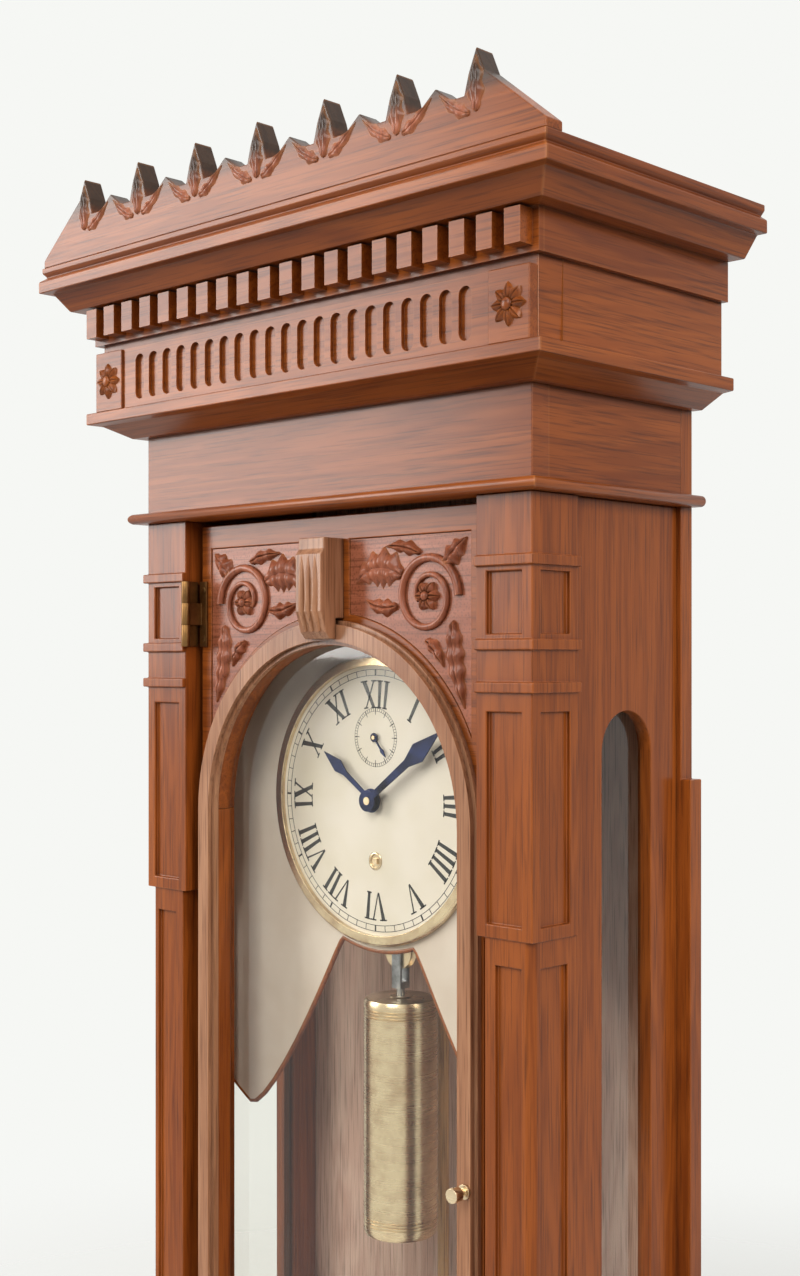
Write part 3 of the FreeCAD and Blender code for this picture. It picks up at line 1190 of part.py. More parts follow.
# Hands, drawn pointing up and then turned to the time; the blade is in shares of its length
BLADE = ((-0.025, 0), (0.025, 0), (0.035, 0.55), (0.085, 0.7), (0, 1), (-0.085, 0.7), (-0.035, 0.55))
seat = "hand_seat + hand_thick"
for label, length, hub, bore, angle, face, level in (
    ("hour_hand", "hour_length", "hour_hub", "pipe_radius", HOUR_ANGLE, f"{pipe_front} + {seat}", DIAL_Z),
    ("minute_hand", f"({DIAL_RADIUS} - minute_margin)", "minute_hub", "cannon_radius", MINUTE_ANGLE,
     f"{cannon_front} + {seat}", DIAL_Z),
    ("second_hand", "second_length", "second_hub", "arbor_radius", SECOND_ANGLE,
     f"{dial_y[0]} - second_lift", escape_z),
):
    hand = new_body(label)
    outline = [(f"{out} * {length}", f"{up} * {length}") for out, up in BLADE]
    pad(hand, new_sketch(hand, f"{label}_blade", "XZ_Plane", [outline]), "hand_thick")
    pad(hand, new_sketch(hand, f"{label}_hub", "XZ_Plane", circles=[("0", "0", hub)]), "hand_thick")
    bore_sketch = new_sketch(hand, f"{label}_bore", "XZ_Plane", circles=[("0", "0", bore)])
    pocket(hand, bore_sketch, "hand_thick", True)
    done(place(hand, "0", face, level, FreeCAD.Rotation(V(0, 1, 0), angle)))

# Pallet anchor, its arbor and the crutch that embraces the pendulum rod
rod_y = behind("pendulum_depth")
crutch_y = (f"{back_plate_y[1]} + crutch_gap", f"{back_plate_y[1]} + crutch_gap + crutch_thick")
pallet_x = f"((escape_radius + pallet_gap) * sin({PALLET_ANGLE}))"
pallet_z = f"({escape_z} + (escape_radius + pallet_gap) * cos({PALLET_ANGLE}))"
pallet_side = f"({pallet_x} + pallet_width)"
pallet_foot = f"({pallet_x} + pallet_toe)"
anchor = plate("anchor_plate", "XZ_Plane", [[
    ("-anchor_half", f"{FLEX_Z} + anchor_crown"), (f"-{pallet_side}", f"{pallet_z} + pallet_rise"),
    (f"-{pallet_foot}", f"{pallet_z} - pallet_toe"), (f"-{pallet_x}", pallet_z),
    ("0", f"{FLEX_Z} - anchor_notch"), (pallet_x, pallet_z), (pallet_foot, f"{pallet_z} - pallet_toe"),
    (pallet_side, f"{pallet_z} + pallet_rise"), ("anchor_half", f"{FLEX_Z} + anchor_crown"),
]], "wheel_thick")
place(anchor, y=f"{escape_y} + wheel_thick")
fork_z = (from_dial("-fork_drop"), from_dial("-fork_drop + fork_height"))
fork_in = "(rod_radius + fork_gap)"
fork_out = f"({fork_in} + fork_wall)"
fork_right = box("fork_right", (fork_in, fork_out), (crutch_y[0], f"{rod_y} + rod_radius"), fork_z)
done(fuse("pallet_anchor", [
    anchor, rod("anchor_arbor", "arbor_radius", "y", ("0", FLEX_Z), (arbor_y[0], crutch_y[1])),
    box("crutch", even("crutch_half"), crutch_y, (fork_z[0], f"{FLEX_Z} + crutch_top")),
    box("fork_bridge", even(fork_out), crutch_y, fork_z),
    fork_right, mirror("fork_left", fork_right),
]))

# Suspension, pendulum, bob and rating nut
cock_z = (f"{FLEX_Z} + cock_lift", f"{FLEX_Z} + cock_lift + cock_height")
spring_y = (f"{rod_y} - spring_width / 2", f"{rod_y} + spring_width / 2")
cock_front = f"({spring_y[0]} - cock_cover)"
done(cut("suspension_cock", box("cock_blank", even("cock_half"), (cock_front, BACK_FACE), cock_z), [
    box("cock_gap", even("cock_slit / 2"), (cock_front, f"{spring_y[1]} + cock_cover"),
        (cock_z[0], f"{cock_z[0]} + slit_height")),
]))
clip_z = (f"{FLEX_Z} - clip_drop - clip_height", f"{FLEX_Z} - clip_drop")
clip_floor = f"({clip_z[0]} + clip_floor)"
done(box("suspension_spring", even("spring_thick / 2"), spring_y, (clip_floor, f"{cock_z[0]} + spring_grip")))
bob_low = f"({BOB_Z} - bob_radius)"
clip = box("clip_blank", even("clip_half"),
           (f"{spring_y[0]} - clip_cover", f"{spring_y[1]} + clip_cover"), clip_z)
clip_slot = box("clip_slot", even("spring_thick / 2 + spring_play"), spring_y, (clip_floor, clip_z[1]))
rod_foot = f"({bob_low} + rod_end)"
done(fuse("pendulum_rod", [
    cut("pendulum_clip", clip, [clip_slot]),
    rod("rod_shaft", "rod_radius", "z", ("0", rod_y), (rod_foot, clip_z[0])),
    rod("rod_thread", "thread_radius", "z", ("0", rod_y), (f"{bob_low} - thread_length", rod_foot)),
]))
lens = "((bob_radius ^ 2 + (bob_half - bob_edge) ^ 2) / (2 * (bob_half - bob_edge)))"
bob_disc = turned("bob_disc", [
    ("0", "-bob_half"), arc("0", f"{lens} - bob_half", True), ("bob_radius", "-bob_edge"),
    ("bob_radius", "bob_edge"), arc("0", f"bob_half - {lens}", True), ("0", "bob_half"),
], "y")
place(bob_disc, "0", rod_y, BOB_Z)
done(cut("pendulum_bob", bob_disc, [
    rod("bob_bore", "rod_radius + running_gap", "z", ("0", rod_y), (bob_low, f"{BOB_Z} + bob_radius"))]))
nut_top = f"({bob_low} - nut_gap)"
nut_foot = f"({nut_top} - nut_height)"
done(cut("rating_nut", fuse("nut_blank", [
    rod("nut_knurl", "nut_radius", "z", ("0", rod_y), (nut_foot, f"{nut_foot} + nut_disc")),
    rod("nut_sleeve", "sleeve_radius", "z", ("0", rod_y), (nut_foot, nut_top)),
]), [rod("nut_bore", "thread_radius + running_gap", "z", ("0", rod_y), (nut_foot, nut_top))]))
scale_top = f"({bob_low} - scale_drop)"
done(box("beat_scale", even("scale_half"), (f"{BACK_FACE} - scale_thick", BACK_FACE),
         (f"{scale_top} - scale_height", scale_top)))

# Weight, stirrup, pulley and line
line_y = behind("line_depth")
pulley_z = from_dial("-pulley_drop")
groove = "(line_wrap - line_radius - line_gap)"
half_width = "(pulley_width / 2)"
sheave = turned("sheave", [
    ("arbor_radius + running_gap", f"-{half_width}"), ("pulley_radius", f"-{half_width}"),
    (groove, "-line_radius - line_gap"), (groove, "line_radius + line_gap"),
    ("pulley_radius", half_width), ("arbor_radius + running_gap", half_width),
], "y")
sheave.Label = "weight_pulley"
done(place(sheave, "0", line_y, pulley_z))
weight_top = f"({pulley_z} - stirrup_drop)"
cheek_near = "(pulley_width / 2 + stirrup_gap)"
cheek_far = f"({cheek_near} + stirrup_thick)"
stirrup_y = (f"{line_y} - {cheek_far}", f"{line_y} + {cheek_far}")
cheek_x = even("stirrup_width / 2")
bridge_z = (f"{weight_top} + bridge_lift", f"{weight_top} + bridge_lift + bridge_height")
cheek_z = (bridge_z[0], f"{pulley_z} + cheek_over")
done(fuse("weight_stirrup", [
    box("cheek_front", cheek_x, (f"{line_y} - {cheek_far}", f"{line_y} - {cheek_near}"), cheek_z),
    box("cheek_back", cheek_x, (f"{line_y} + {cheek_near}", f"{line_y} + {cheek_far}"), cheek_z),
    box("stirrup_bridge", cheek_x, stirrup_y, bridge_z),
    rod("pulley_pin", "arbor_radius", "y", ("0", pulley_z), stirrup_y),
    rod("stirrup_shank", "shank_radius", "z", ("0", line_y), (weight_top, bridge_z[0])),
]))
boss_end = "(-weight_length - boss_length)"
done(place(turned("weight", [
    ("0", boss_end), ("boss_tip", boss_end), ("boss_radius", "-weight_length - boss_root"),
    ("weight_radius - weight_chamfer", "-weight_length"), ("weight_radius", "weight_chamfer - weight_length"),
    ("weight_radius", "-shoulder_drop"), ("weight_radius - shoulder_in", "shoulder_height - shoulder_drop"),
    ("collar_radius", "-collar_height"), ("collar_tip", "0"), ("0", "0"),
]), "0", line_y, weight_top))
line = new_body("weight_line")
line_end = f"({stud_z} - stud_radius - line_stop)"
spine = new_sketch(line, "line_path", "XZ_Plane")
left_end = (value("-line_wrap"), value(great_z))
left_low = (value("-line_wrap"), value(pulley_z))
right_low = (value("line_wrap"), value(pulley_z))
right_end = (value("line_wrap"), value(line_end))
fall = add_segment(spine, left_end, left_low, None)
bight = add_segment(spine, left_low, right_low, arc("0", pulley_z, True))
climb = add_segment(spine, right_low, right_end, None)
for before, after in ((fall, bight), (bight, climb)):
    spine.addConstraint(Sketcher.Constraint("Coincident", before[0], before[2], after[0], after[1]))
for edge, point, u, v in ((fall, 1, "-line_wrap", great_z), (fall, 2, "-line_wrap", pulley_z),
                          (climb, 1, "line_wrap", pulley_z), (climb, 2, "line_wrap", line_end)):
    bind(spine, "DistanceX", edge[0], point, u)
    bind(spine, "DistanceY", edge[0], point, v)
bind(spine, "DistanceY", bight[0], 3, pulley_z)
section = new_sketch(line, "line_section", "XY_Plane", circles=[("-line_wrap", "0", "line_radius")],
                     lift=great_z)
pipe = line.newObject("PartDesign::AdditivePipe", "line_pipe")
pipe.Profile = section
pipe.Spine = spine
done(place(line, y=line_y))

# Check every object, then write one file for each finished piece
doc.recompute()
for item in doc.Objects:
    if "Invalid" in item.State or "Error" in item.State:
        raise RuntimeError(f"{item.Label} did not build: {item.State}")
os.makedirs("parts", exist_ok=True)
for piece in finished:
    if piece.Shape.isNull() or not piece.Shape.isValid():
        raise RuntimeError(f"{piece.Label} has no sound shape")
    piece.Shape.exportStep(f"parts/{piece.Label}.step")
print(len(finished), "pieces written")
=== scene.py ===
"""Wall regulator clock: finishes, carving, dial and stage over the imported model, in metres."""
import math

import bmesh
import bpy
from bpy.props import FloatProperty, FloatVectorProperty, IntProperty, PointerProperty
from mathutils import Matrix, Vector


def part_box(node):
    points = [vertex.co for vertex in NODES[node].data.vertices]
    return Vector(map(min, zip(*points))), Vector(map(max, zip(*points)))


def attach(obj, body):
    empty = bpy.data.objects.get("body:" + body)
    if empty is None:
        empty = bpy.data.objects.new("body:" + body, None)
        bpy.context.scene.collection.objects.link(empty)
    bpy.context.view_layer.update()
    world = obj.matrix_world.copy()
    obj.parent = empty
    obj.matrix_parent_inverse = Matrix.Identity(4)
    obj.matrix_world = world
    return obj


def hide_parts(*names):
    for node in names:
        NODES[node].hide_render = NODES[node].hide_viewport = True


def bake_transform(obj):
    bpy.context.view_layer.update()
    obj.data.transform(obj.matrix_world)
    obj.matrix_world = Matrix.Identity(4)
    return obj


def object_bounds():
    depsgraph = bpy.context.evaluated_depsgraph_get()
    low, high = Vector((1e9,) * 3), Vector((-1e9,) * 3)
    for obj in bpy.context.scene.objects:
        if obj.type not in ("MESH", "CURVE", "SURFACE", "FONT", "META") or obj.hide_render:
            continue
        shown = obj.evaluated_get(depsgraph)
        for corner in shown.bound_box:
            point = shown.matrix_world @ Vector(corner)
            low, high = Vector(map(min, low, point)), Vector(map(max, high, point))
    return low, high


bl_info = {
    "name": "Wall Regulator Clock",
    "version": (1, 0, 0),
    "blender": (4, 5, 0),
    "location": "View3D > Sidebar > Clock",
    "description": "Dresses the packed clock with its finishes, carving, dial and stage",
    "category": "Object",
}

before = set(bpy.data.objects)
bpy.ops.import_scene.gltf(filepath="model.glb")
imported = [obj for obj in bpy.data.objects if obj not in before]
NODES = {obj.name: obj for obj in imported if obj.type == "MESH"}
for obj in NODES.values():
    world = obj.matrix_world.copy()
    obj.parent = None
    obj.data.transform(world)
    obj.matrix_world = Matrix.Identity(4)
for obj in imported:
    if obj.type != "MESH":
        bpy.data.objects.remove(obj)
CAD_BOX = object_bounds()
MM = 0.001
FULL_TURN = 2 * math.pi


def linear(code):
    """An sRGB hex colour as linear red, green, blue and alpha."""
    shares = [int(code[i:i + 2], 16) / 255 for i in (1, 3, 5)]
    return [s / 12.92 if s <= 0.04045 else ((s + 0.055) / 1.055) ** 2.4 for s in shares] + [1.0]


def middle(node):
    """The centre of a node's box."""
    low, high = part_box(node)
    return (low + high) / 2


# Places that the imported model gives
DIAL_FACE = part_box("dial")[0].y
DIAL_CENTRE = Vector((0, DIAL_FACE, middle("dial").z))
SPANDREL_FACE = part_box("spandrel_panels")[0].y
LINE_Y = middle("weight").y
ROD_Y = middle("pendulum_rod").y
INNER_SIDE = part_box("right_side_frame")[0].x
BACK_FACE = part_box("backboard")[0].y
CREST_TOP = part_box("cresting")[1].z
# Where the front and side runs of a mitred piece meet, |x| + y is the same along the whole joint
MITRE_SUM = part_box("top_board")[1].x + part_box("top_board")[0].y


def swatch(name, code, description):
    """A colour that a user may change, from its sRGB hex value."""
    return FloatVectorProperty(name=name, description=description, subtype="COLOR", size=4, min=0, max=1,
                               default=linear(code))


def length(name, millimetres, description):
    """A length that a user may change."""
    return FloatProperty(name=name, description=description, unit="LENGTH", min=0, precision=5,
                         default=millimetres * MM)


class ClockColours(bpy.types.PropertyGroup):
    """Colours of the finishes, as they look in plain light."""
    wood_dark: swatch("Mahogany, dark", "#692e0b", "Late growth and shaded figure of the case wood")
    wood_light: swatch("Mahogany, light", "#a3571f", "Early growth of the case wood")
    # Painted sheen: the arch, the keystone and its reeds take this paler wood in place of the light that
    # their mouldings catch
    pale_dark: swatch("Faded arch, dark", "#835235", "Late growth of the faded arch and keystone")
    pale_light: swatch("Faded arch, light", "#b48565", "Early growth of the faded arch and keystone")
    carved_dark: swatch("Carving, dark", "#783c22", "Shaded figure of the redder carved wood")
    carved_light: swatch("Carving, light", "#b06a4e", "Light figure of the redder carved wood")
    # Painted light: the back board's face takes these paler, greyed pink colours in place of light and the
    # reflection of the door glass
    board_dark: swatch("Back board, dark", "#b48c7a", "Shaded figure of the back board")
    board_light: swatch("Back board, light", "#e0c3b2", "Light figure of the back board")
    rod_dark: swatch("Rod wood, dark", "#8a5f36", "Shaded figure of the straight pendulum rod")
    rod_light: swatch("Rod wood, light", "#c39a66", "Light figure of the straight pendulum rod")
    tip_dark: swatch("Crest tip, dark", "#23150d", "Shaded figure of the blackened tips of the cresting")
    tip_light: swatch("Crest tip, light", "#46301f", "Light figure of the blackened tips of the cresting")
    pore: swatch("Pores", "#3b1808", "Wood pores filled with dark polish")
    # Also painted shade: mixed into corners and recesses by how closed in they are
    wax_and_corner_shade: swatch("Old wax", "#2c1006", "Dark wax that gathers in corners")
    worn: swatch("Worn edge", "#bf7f4c", "Edges rubbed pale by dusting")
    brass: swatch("Brass", "#dfcba8", "Lacquered brass")
    brass_dull: swatch("Brass, dull", "#bfa483", "Brass where the lacquer has gone")
    bronze: swatch("Bronzed brass", "#7a5a36", "Hinges, browned so that they sink into the wood")
    bronze_dark: swatch("Bronzed brass, dark", "#4b3320", "Where the browning is thick")
    blued: swatch("Blued steel", "#2a3152", "Hands")
    steel: swatch("Steel", "#9b9c9e", "Anchor, suspension spring, stirrup and screws")
    iron: swatch("Black iron", "#34312f", "Hanger plate and bracket")
    enamel: swatch("Enamel", "#f1e8db", "Fired dial")
    enamel_ivory: swatch("Enamel, ivory", "#e6dcc8", "Slight yellowing of the fired dial")
    paint_light: swatch("Mask paint, light", "#e3d6c8", "Stone-coloured oil paint round the dial")
    paint_dark: swatch("Mask paint, dark", "#d2c1b0", "Where the paint has aged")
    ink: swatch("Numeral black", "#171513", "Fired black of the numerals")
    line: swatch("Gut line", "#b08a52", "Twisted gut of the weight line")
    glass: swatch("Glass tint", "#fcfcfa", "What a pane lets through")
    backdrop: swatch("Backdrop", "#f6f7f4", "Pale surroundings")
    floor: swatch("Floor", "#eeeeec", "Pale floor")


class ClockSizes(bpy.types.PropertyGroup):
    """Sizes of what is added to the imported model."""
    edge: length("Edge rounding", 0.9, "Radius that sanding leaves on a wooden edge")
    metal_edge: length("Metal edge", 0.25, "Radius left on a filed metal edge")
    numeral_foot: length("Numeral foot", 69, "Radius of the numerals' feet on the dial")
    numeral_height: length("Numeral height", 21, "Height of the Roman numerals")
    track_inner: length("Minute track, inner", 93.5, "Radius of the minute track's inner circle")
    track_outer: length("Minute track, outer", 98, "Radius of the minute track's outer circle")
    seconds_inner: length("Seconds track, inner", 19.6, "Radius of the seconds track's inner circle")
    seconds_outer: length("Seconds track, outer", 22, "Radius of the seconds track's outer circle")
    paint: length("Paint height", 0.12, "How far the fired black stands over the dial")
    mask_inner: length("Mask hole", 104, "Radius of the hole in the dial mask, hidden by the bezel")
    mask_ring: length("Mask ring", 113, "Radius of the dial mask straight below the dial")
    mask_wing: length("Mask wing", 290, "How far the wings of the dial mask reach from the dial's centre")
    mask_rise: length("Mask rise", 213, "Top of the dial mask over the dial's centre")
    mask_thick: length("Mask thickness", 3, "Thickness of the dial mask")
    carving_rise: length("Carving height", 5.5, "Height of the leaves over the spandrel ground")
    screw_radius: length("Screw head", 2.4, "Radius of a wood screw's head")
    knurls: IntProperty(name="Knurls", description="Ridges round the rating nut", default=40, min=3)


def colours():
    return bpy.context.scene.clock_colours


def sizes():
    return bpy.context.scene.clock_sizes


# Nodes and materials
def feed(node, inputs):
    """Links each socket among the inputs, and sets any other value on the node's own socket."""
    for key, value in inputs.items():
        if isinstance(value, bpy.types.NodeSocket):
            node.id_data.links.new(value, node.inputs[key])
        else:
            node.inputs[key].default_value = value


def add(tree, kind, inputs=None, **settings):
    """Adds a shader node and gives its outputs. Inputs go by name, or by number where names repeat.

    Map Range takes what lies between its inputs 1 and 2 to between 3 and 4. Mix goes by its input 0:
    from 2 to 3 for numbers, from 4 to 5 for vectors and from 6 to 7 for colours.
    """
    node = tree.nodes.new("ShaderNode" + kind)
    for name, value in settings.items():
        setattr(node, name, value)
    feed(node, inputs or {})
    return node.outputs


def blank(name):
    """A new node material, its tree, its Principled shader and the place on the object."""
    material = bpy.data.materials.new(name)
    material.use_nodes = True
    tree = material.node_tree
    return material, tree, tree.nodes["Principled BSDF"], add(tree, "TexCoord")["Object"]


def tones(family):
    """The dark and the light colour of a wood or a paint."""
    return getattr(colours(), family + "_dark"), getattr(colours(), family + "_light")


def outside_lightened_face(tree, place):
    """1 on the edges and rear of the back board, which keep the colour of the case, and 0 on its face,
    which is painted lighter as painted light and painted reflection from the door glass.
    """
    parts = add(tree, "SeparateXYZ", {0: place})
    across = add(tree, "Math", {0: parts["X"]}, operation="ABSOLUTE")[0]
    beside = add(tree, "Math", {0: across, 1: INNER_SIDE}, operation="GREATER_THAN")[0]
    behind = add(tree, "Math", {0: parts["Y"], 1: BACK_FACE + 2 * MM}, operation="GREATER_THAN")[0]
    return add(tree, "Math", {0: beside, 1: behind}, operation="MAXIMUM")[0]


def blackened_tips(tree, place):
    """From 0 at the foot of the cresting's spikes to 1 near their tips."""
    height = add(tree, "SeparateXYZ", {0: place})["Z"]
    return add(tree, "MapRange", {0: height, 1: CREST_TOP - 34 * MM, 2: CREST_TOP - 20 * MM})[0]


def along_grain(tree, place, grain, stretch):
    """Places drawn out along the grain, which follows one axis or turns at the mitres of a moulding."""
    scales = {axis: [1 / stretch if a == axis else 1 for a in "XYZ"] for axis in "XYZ"}
    if grain in scales:
        return add(tree, "Mapping", {"Vector": place, "Scale": scales[grain]})[0]
    parts = add(tree, "SeparateXYZ", {0: place})
    across = add(tree, "Math", {0: parts["X"]}, operation="ABSOLUTE")[0]
    corner = add(tree, "Math", {0: across, 1: parts["Y"]}, operation="ADD")[0]
    on_side = add(tree, "Math", {0: corner, 1: MITRE_SUM}, operation="GREATER_THAN")[0]
    front = add(tree, "Mapping", {"Vector": place, "Scale": scales["X"]})[0]
    side = add(tree, "Mapping", {"Vector": place, "Scale": scales["Y"]})[0]
    return add(tree, "Mix", {0: on_side, 4: front, 5: side}, data_type="VECTOR")[1]


def polished_wood(name, grain, wood, where=None, second=None, stippled=False):
    """Waxed mahogany: a soft sheen over growth bands, filled pores, corners darkened by dark wax and
    painted shade, and rubbed edges.
    """
    material, tree, surface, place = blank(name)
    shade = colours()
    dark, light = tones(wood)
    if where:
        # A function gives the share of the second wood's colours at each place
        share = where(tree, place)
        dark, light = [add(tree, "Mix", {0: share, 6: first, 7: other}, data_type="RGBA")[2]
                       for first, other in zip((dark, light), tones(second))]
    # The grain runs 14 times as far along a board as across it, and the pores 40 times
    grain_run = along_grain(tree, place, grain, 14)
    pore_run = along_grain(tree, place, grain, 40)
    # Figure 40 mm wide, cut by growth bands about 4 mm apart
    figure = add(tree, "TexNoise", {"Vector": grain_run, "Scale": 1 / (40 * MM), "Detail": 3,
                                    "Roughness": 0.55, "Distortion": 0.5})["Fac"]
    many = add(tree, "Math", {0: figure, 1: 62}, operation="MULTIPLY")[0]
    bands = add(tree, "Math", {0: many}, operation="SINE")[0]
    bands = add(tree, "MapRange", {0: bands, 1: -1, 2: 1, 3: 0.2, 4: 0.75})[0]
    cloud = add(tree, "MapRange", {0: figure, 1: 0.3, 2: 0.7})[0]
    tone = add(tree, "Mix", {0: 0.5, 2: bands, 3: cloud})[0]
    colour = add(tree, "Mix", {0: tone, 6: dark, 7: light}, data_type="RGBA")[2]
    # Pores are 0.3 mm wide and are drawn at 1.4 mm, so that they show
    pores = add(tree, "TexNoise", {"Vector": pore_run, "Scale": 1 / (1.4 * MM), "Detail": 2,
                                   "Roughness": 0.6})["Fac"]
    pores = add(tree, "MapRange", {0: pores, 1: 0.5, 2: 0.72, 3: 0, 4: 0.6})[0]
    colour = add(tree, "Mix", {0: pores, 6: colour, 7: shade.pore}, data_type="RGBA")[2]
    height = add(tree, "Math", {0: 1.0, 1: pores}, operation="SUBTRACT")[0]
    if stippled:
        # The ground between the leaves is punched with a 2 mm point
        pits = add(tree, "TexVoronoi", {"Vector": place, "Scale": 1 / (2.2 * MM)})["Distance"]
        pits = add(tree, "MapRange", {0: pits, 1: 0.1, 2: 0.5, 3: 0.55, 4: 1})[0]
        colour = add(tree, "Mix", {0: pits, 6: shade.pore, 7: colour}, data_type="RGBA")[2]
        height = add(tree, "Math", {0: height, 1: pits}, operation="ADD")[0]
    # Painted shade and dark wax darken corners over 7 mm, by how closed in each place is, and dusting rubs
    # edges pale over 1.5 mm
    corners = add(tree, "AmbientOcclusion", {"Distance": 7 * MM}, samples=8)["AO"]
    corners = add(tree, "MapRange", {0: corners, 1: 0.3, 2: 0.85, 3: 0.55, 4: 0})[0]
    colour = add(tree, "Mix", {0: corners, 6: colour, 7: shade.wax_and_corner_shade}, data_type="RGBA")[2]
    edges = add(tree, "AmbientOcclusion", {"Distance": 1.5 * MM}, samples=8, inside=True)["AO"]
    edges = add(tree, "MapRange", {0: edges, 1: 0.25, 2: 0.9, 3: 0.25, 4: 0})[0]
    colour = add(tree, "Mix", {0: edges, 6: colour, 7: shade.worn}, data_type="RGBA")[2]
    rough = add(tree, "MapRange", {0: tone, 3: 0.5, 4: 0.4})[0]
    bump = add(tree, "Bump", {"Strength": 0.35, "Distance": 0.3 * MM, "Height": height})[0]
    feed(surface, {"Base Color": colour, "Roughness": rough, "Normal": bump,
                   "Specular IOR Level": 0.08, "Coat Weight": 0.4, "Coat Roughness": 0.22})
    return material


def metal(name, base, dull, roughness, turned=None):
    """Worked metal: fine tool marks in the gloss and a cloudy bloom where it has dulled."""
    material, tree, surface, place = blank(name)
    # A brush leaves long upright marks, and a lathe leaves rings
    if turned is None:
        marks = add(tree, "Mapping", {"Vector": place, "Scale": (1, 1, 0.06)})[0]
    elif turned == "upright":
        marks = add(tree, "Mapping", {"Vector": place, "Scale": (0.01, 0.01, 1)})[0]
    else:
        # The lathe's axis goes through this point, from the back to the front of the clock
        shifted = add(tree, "VectorMath", {0: place, 1: turned}, operation="SUBTRACT")[0]
        flat = add(tree, "VectorMath", {0: shifted, 1: (1, 0, 1)}, operation="MULTIPLY")[0]
        radius = add(tree, "VectorMath", {0: flat}, operation="LENGTH")["Value"]
        marks = add(tree, "CombineXYZ", {"X": radius})[0]
    # Tool marks 0.1 mm apart, drawn at 1.6 mm so that they show
    lines = add(tree, "TexNoise", {"Vector": marks, "Scale": 1 / (1.6 * MM), "Detail": 2,
                                   "Roughness": 0.5})["Fac"]
    # Clouds of dull metal about 22 mm wide
    bloom = add(tree, "TexNoise", {"Vector": place, "Scale": 1 / (22 * MM), "Detail": 4,
                                   "Roughness": 0.65})["Fac"]
    bloom = add(tree, "MapRange", {0: bloom, 1: 0.42, 2: 0.68})[0]
    bright, cloudy = getattr(colours(), base), getattr(colours(), dull)
    colour = add(tree, "Mix", {0: bloom, 6: bright, 7: cloudy}, data_type="RGBA")[2]
    rough = add(tree, "MapRange", {0: lines, 3: roughness * 0.9, 4: roughness * 1.15})[0]
    bump = add(tree, "Bump", {"Strength": 0.03, "Distance": 0.1 * MM, "Height": lines})[0]
    feed(surface, {"Base Color": colour, "Roughness": rough, "Normal": bump, "Metallic": 1.0})
    return material


def fired_enamel(name, base, tinge):
    """Vitreous enamel on copper: glassy, faintly uneven, a little yellow in patches."""
    material, tree, surface, place = blank(name)
    # Patches 45 mm wide and specks of 3 mm
    patches = add(tree, "TexNoise", {"Vector": place, "Scale": 1 / (45 * MM), "Detail": 3})["Fac"]
    specks = add(tree, "TexNoise", {"Vector": place, "Scale": 1 / (3 * MM), "Detail": 2})["Fac"]
    patches = add(tree, "MapRange", {0: patches, 1: 0.35, 2: 0.75})[0]
    clean, aged = getattr(colours(), base), getattr(colours(), tinge)
    colour = add(tree, "Mix", {0: patches, 6: clean, 7: aged}, data_type="RGBA")[2]
    rough = add(tree, "MapRange", {0: specks, 3: 0.14, 4: 0.26})[0]
    bump = add(tree, "Bump", {"Strength": 0.06, "Distance": 0.2 * MM, "Height": specks})[0]
    feed(surface, {"Base Color": colour, "Roughness": rough, "Normal": bump, "IOR": 1.52})
    return material


def brushed_paint(name, paint):
    """Oil paint on thin board: satin, with upright brush marks and patches that have aged darker."""
    material, tree, surface, place = blank(name)
    # Bristle marks 0.5 mm apart, drawn at 1.5 mm so that they show
    run = add(tree, "Mapping", {"Vector": place, "Scale": (1, 1, 0.04)})[0]
    marks = add(tree, "TexNoise", {"Vector": run, "Scale": 1 / (1.5 * MM), "Detail": 2})["Fac"]
    patches = add(tree, "TexNoise", {"Vector": place, "Scale": 1 / (60 * MM), "Detail": 4})["Fac"]
    patches = add(tree, "MapRange", {0: patches, 1: 0.35, 2: 0.7})[0]
    dark, light = tones(paint)
    colour = add(tree, "Mix", {0: patches, 6: light, 7: dark}, data_type="RGBA")[2]
    rough = add(tree, "MapRange", {0: marks, 3: 0.45, 4: 0.6})[0]
    bump = add(tree, "Bump", {"Strength": 0.2, "Distance": 0.1 * MM, "Height": marks})[0]
    feed(surface, {"Base Color": colour, "Roughness": rough, "Normal": bump})
    return material


def drawn_glass(name):
    """Hand-drawn window glass: clear, with soft waves in its reflections and more mirror at a slant."""
    material, tree, surface, place = blank(name)
    tree.nodes.remove(surface)
    # Waves 70 mm apart
    waves = add(tree, "TexNoise", {"Vector": place, "Scale": 1 / (70 * MM), "Detail": 1})["Fac"]
    bump = add(tree, "Bump", {"Strength": 0.25, "Distance": 1.2 * MM, "Height": waves})[0]
    mirror = add(tree, "BsdfGlossy", {"Color": (1, 1, 1, 1), "Roughness": 0.03, "Normal": bump})[0]
    clear = add(tree, "BsdfTransparent", {"Color": colours().glass})[0]
    share = add(tree, "Fresnel", {"IOR": 1.45, "Normal": bump})[0]
    # Both faces mirror on a real pane; here the face that a ray enters by does it for both
    leaving = add(tree, "NewGeometry")["Backfacing"]
    entering = add(tree, "Math", {0: 1.0, 1: leaving}, operation="SUBTRACT")[0]
    share = add(tree, "Math", {0: share, 1: entering}, operation="MULTIPLY")[0]
    pane = add(tree, "MixShader", {0: share, 1: clear, 2: mirror})[0]
    feed(tree.nodes["Material Output"], {"Surface": pane})
    return material


def twisted_gut(name):
    """Gut line: waxy, twisted in a slow spiral that shows as slanting bands."""
    material, tree, surface, place = blank(name)
    shade = colours()
    # The lay is 0.8 mm long, drawn at 2 mm so that it shows
    twist = add(tree, "TexWave", {"Vector": place, "Scale": 1 / (2 * MM) / FULL_TURN, "Distortion": 1.5},
                bands_direction="Z")["Fac"]
    colour = add(tree, "Mix", {0: twist, 6: shade.brass_dull, 7: shade.line}, data_type="RGBA")[2]
    bump = add(tree, "Bump", {"Strength": 0.3, "Distance": 0.2 * MM, "Height": twist})[0]
    feed(surface, {"Base Color": colour, "Normal": bump, "Roughness": 0.45})
    return material


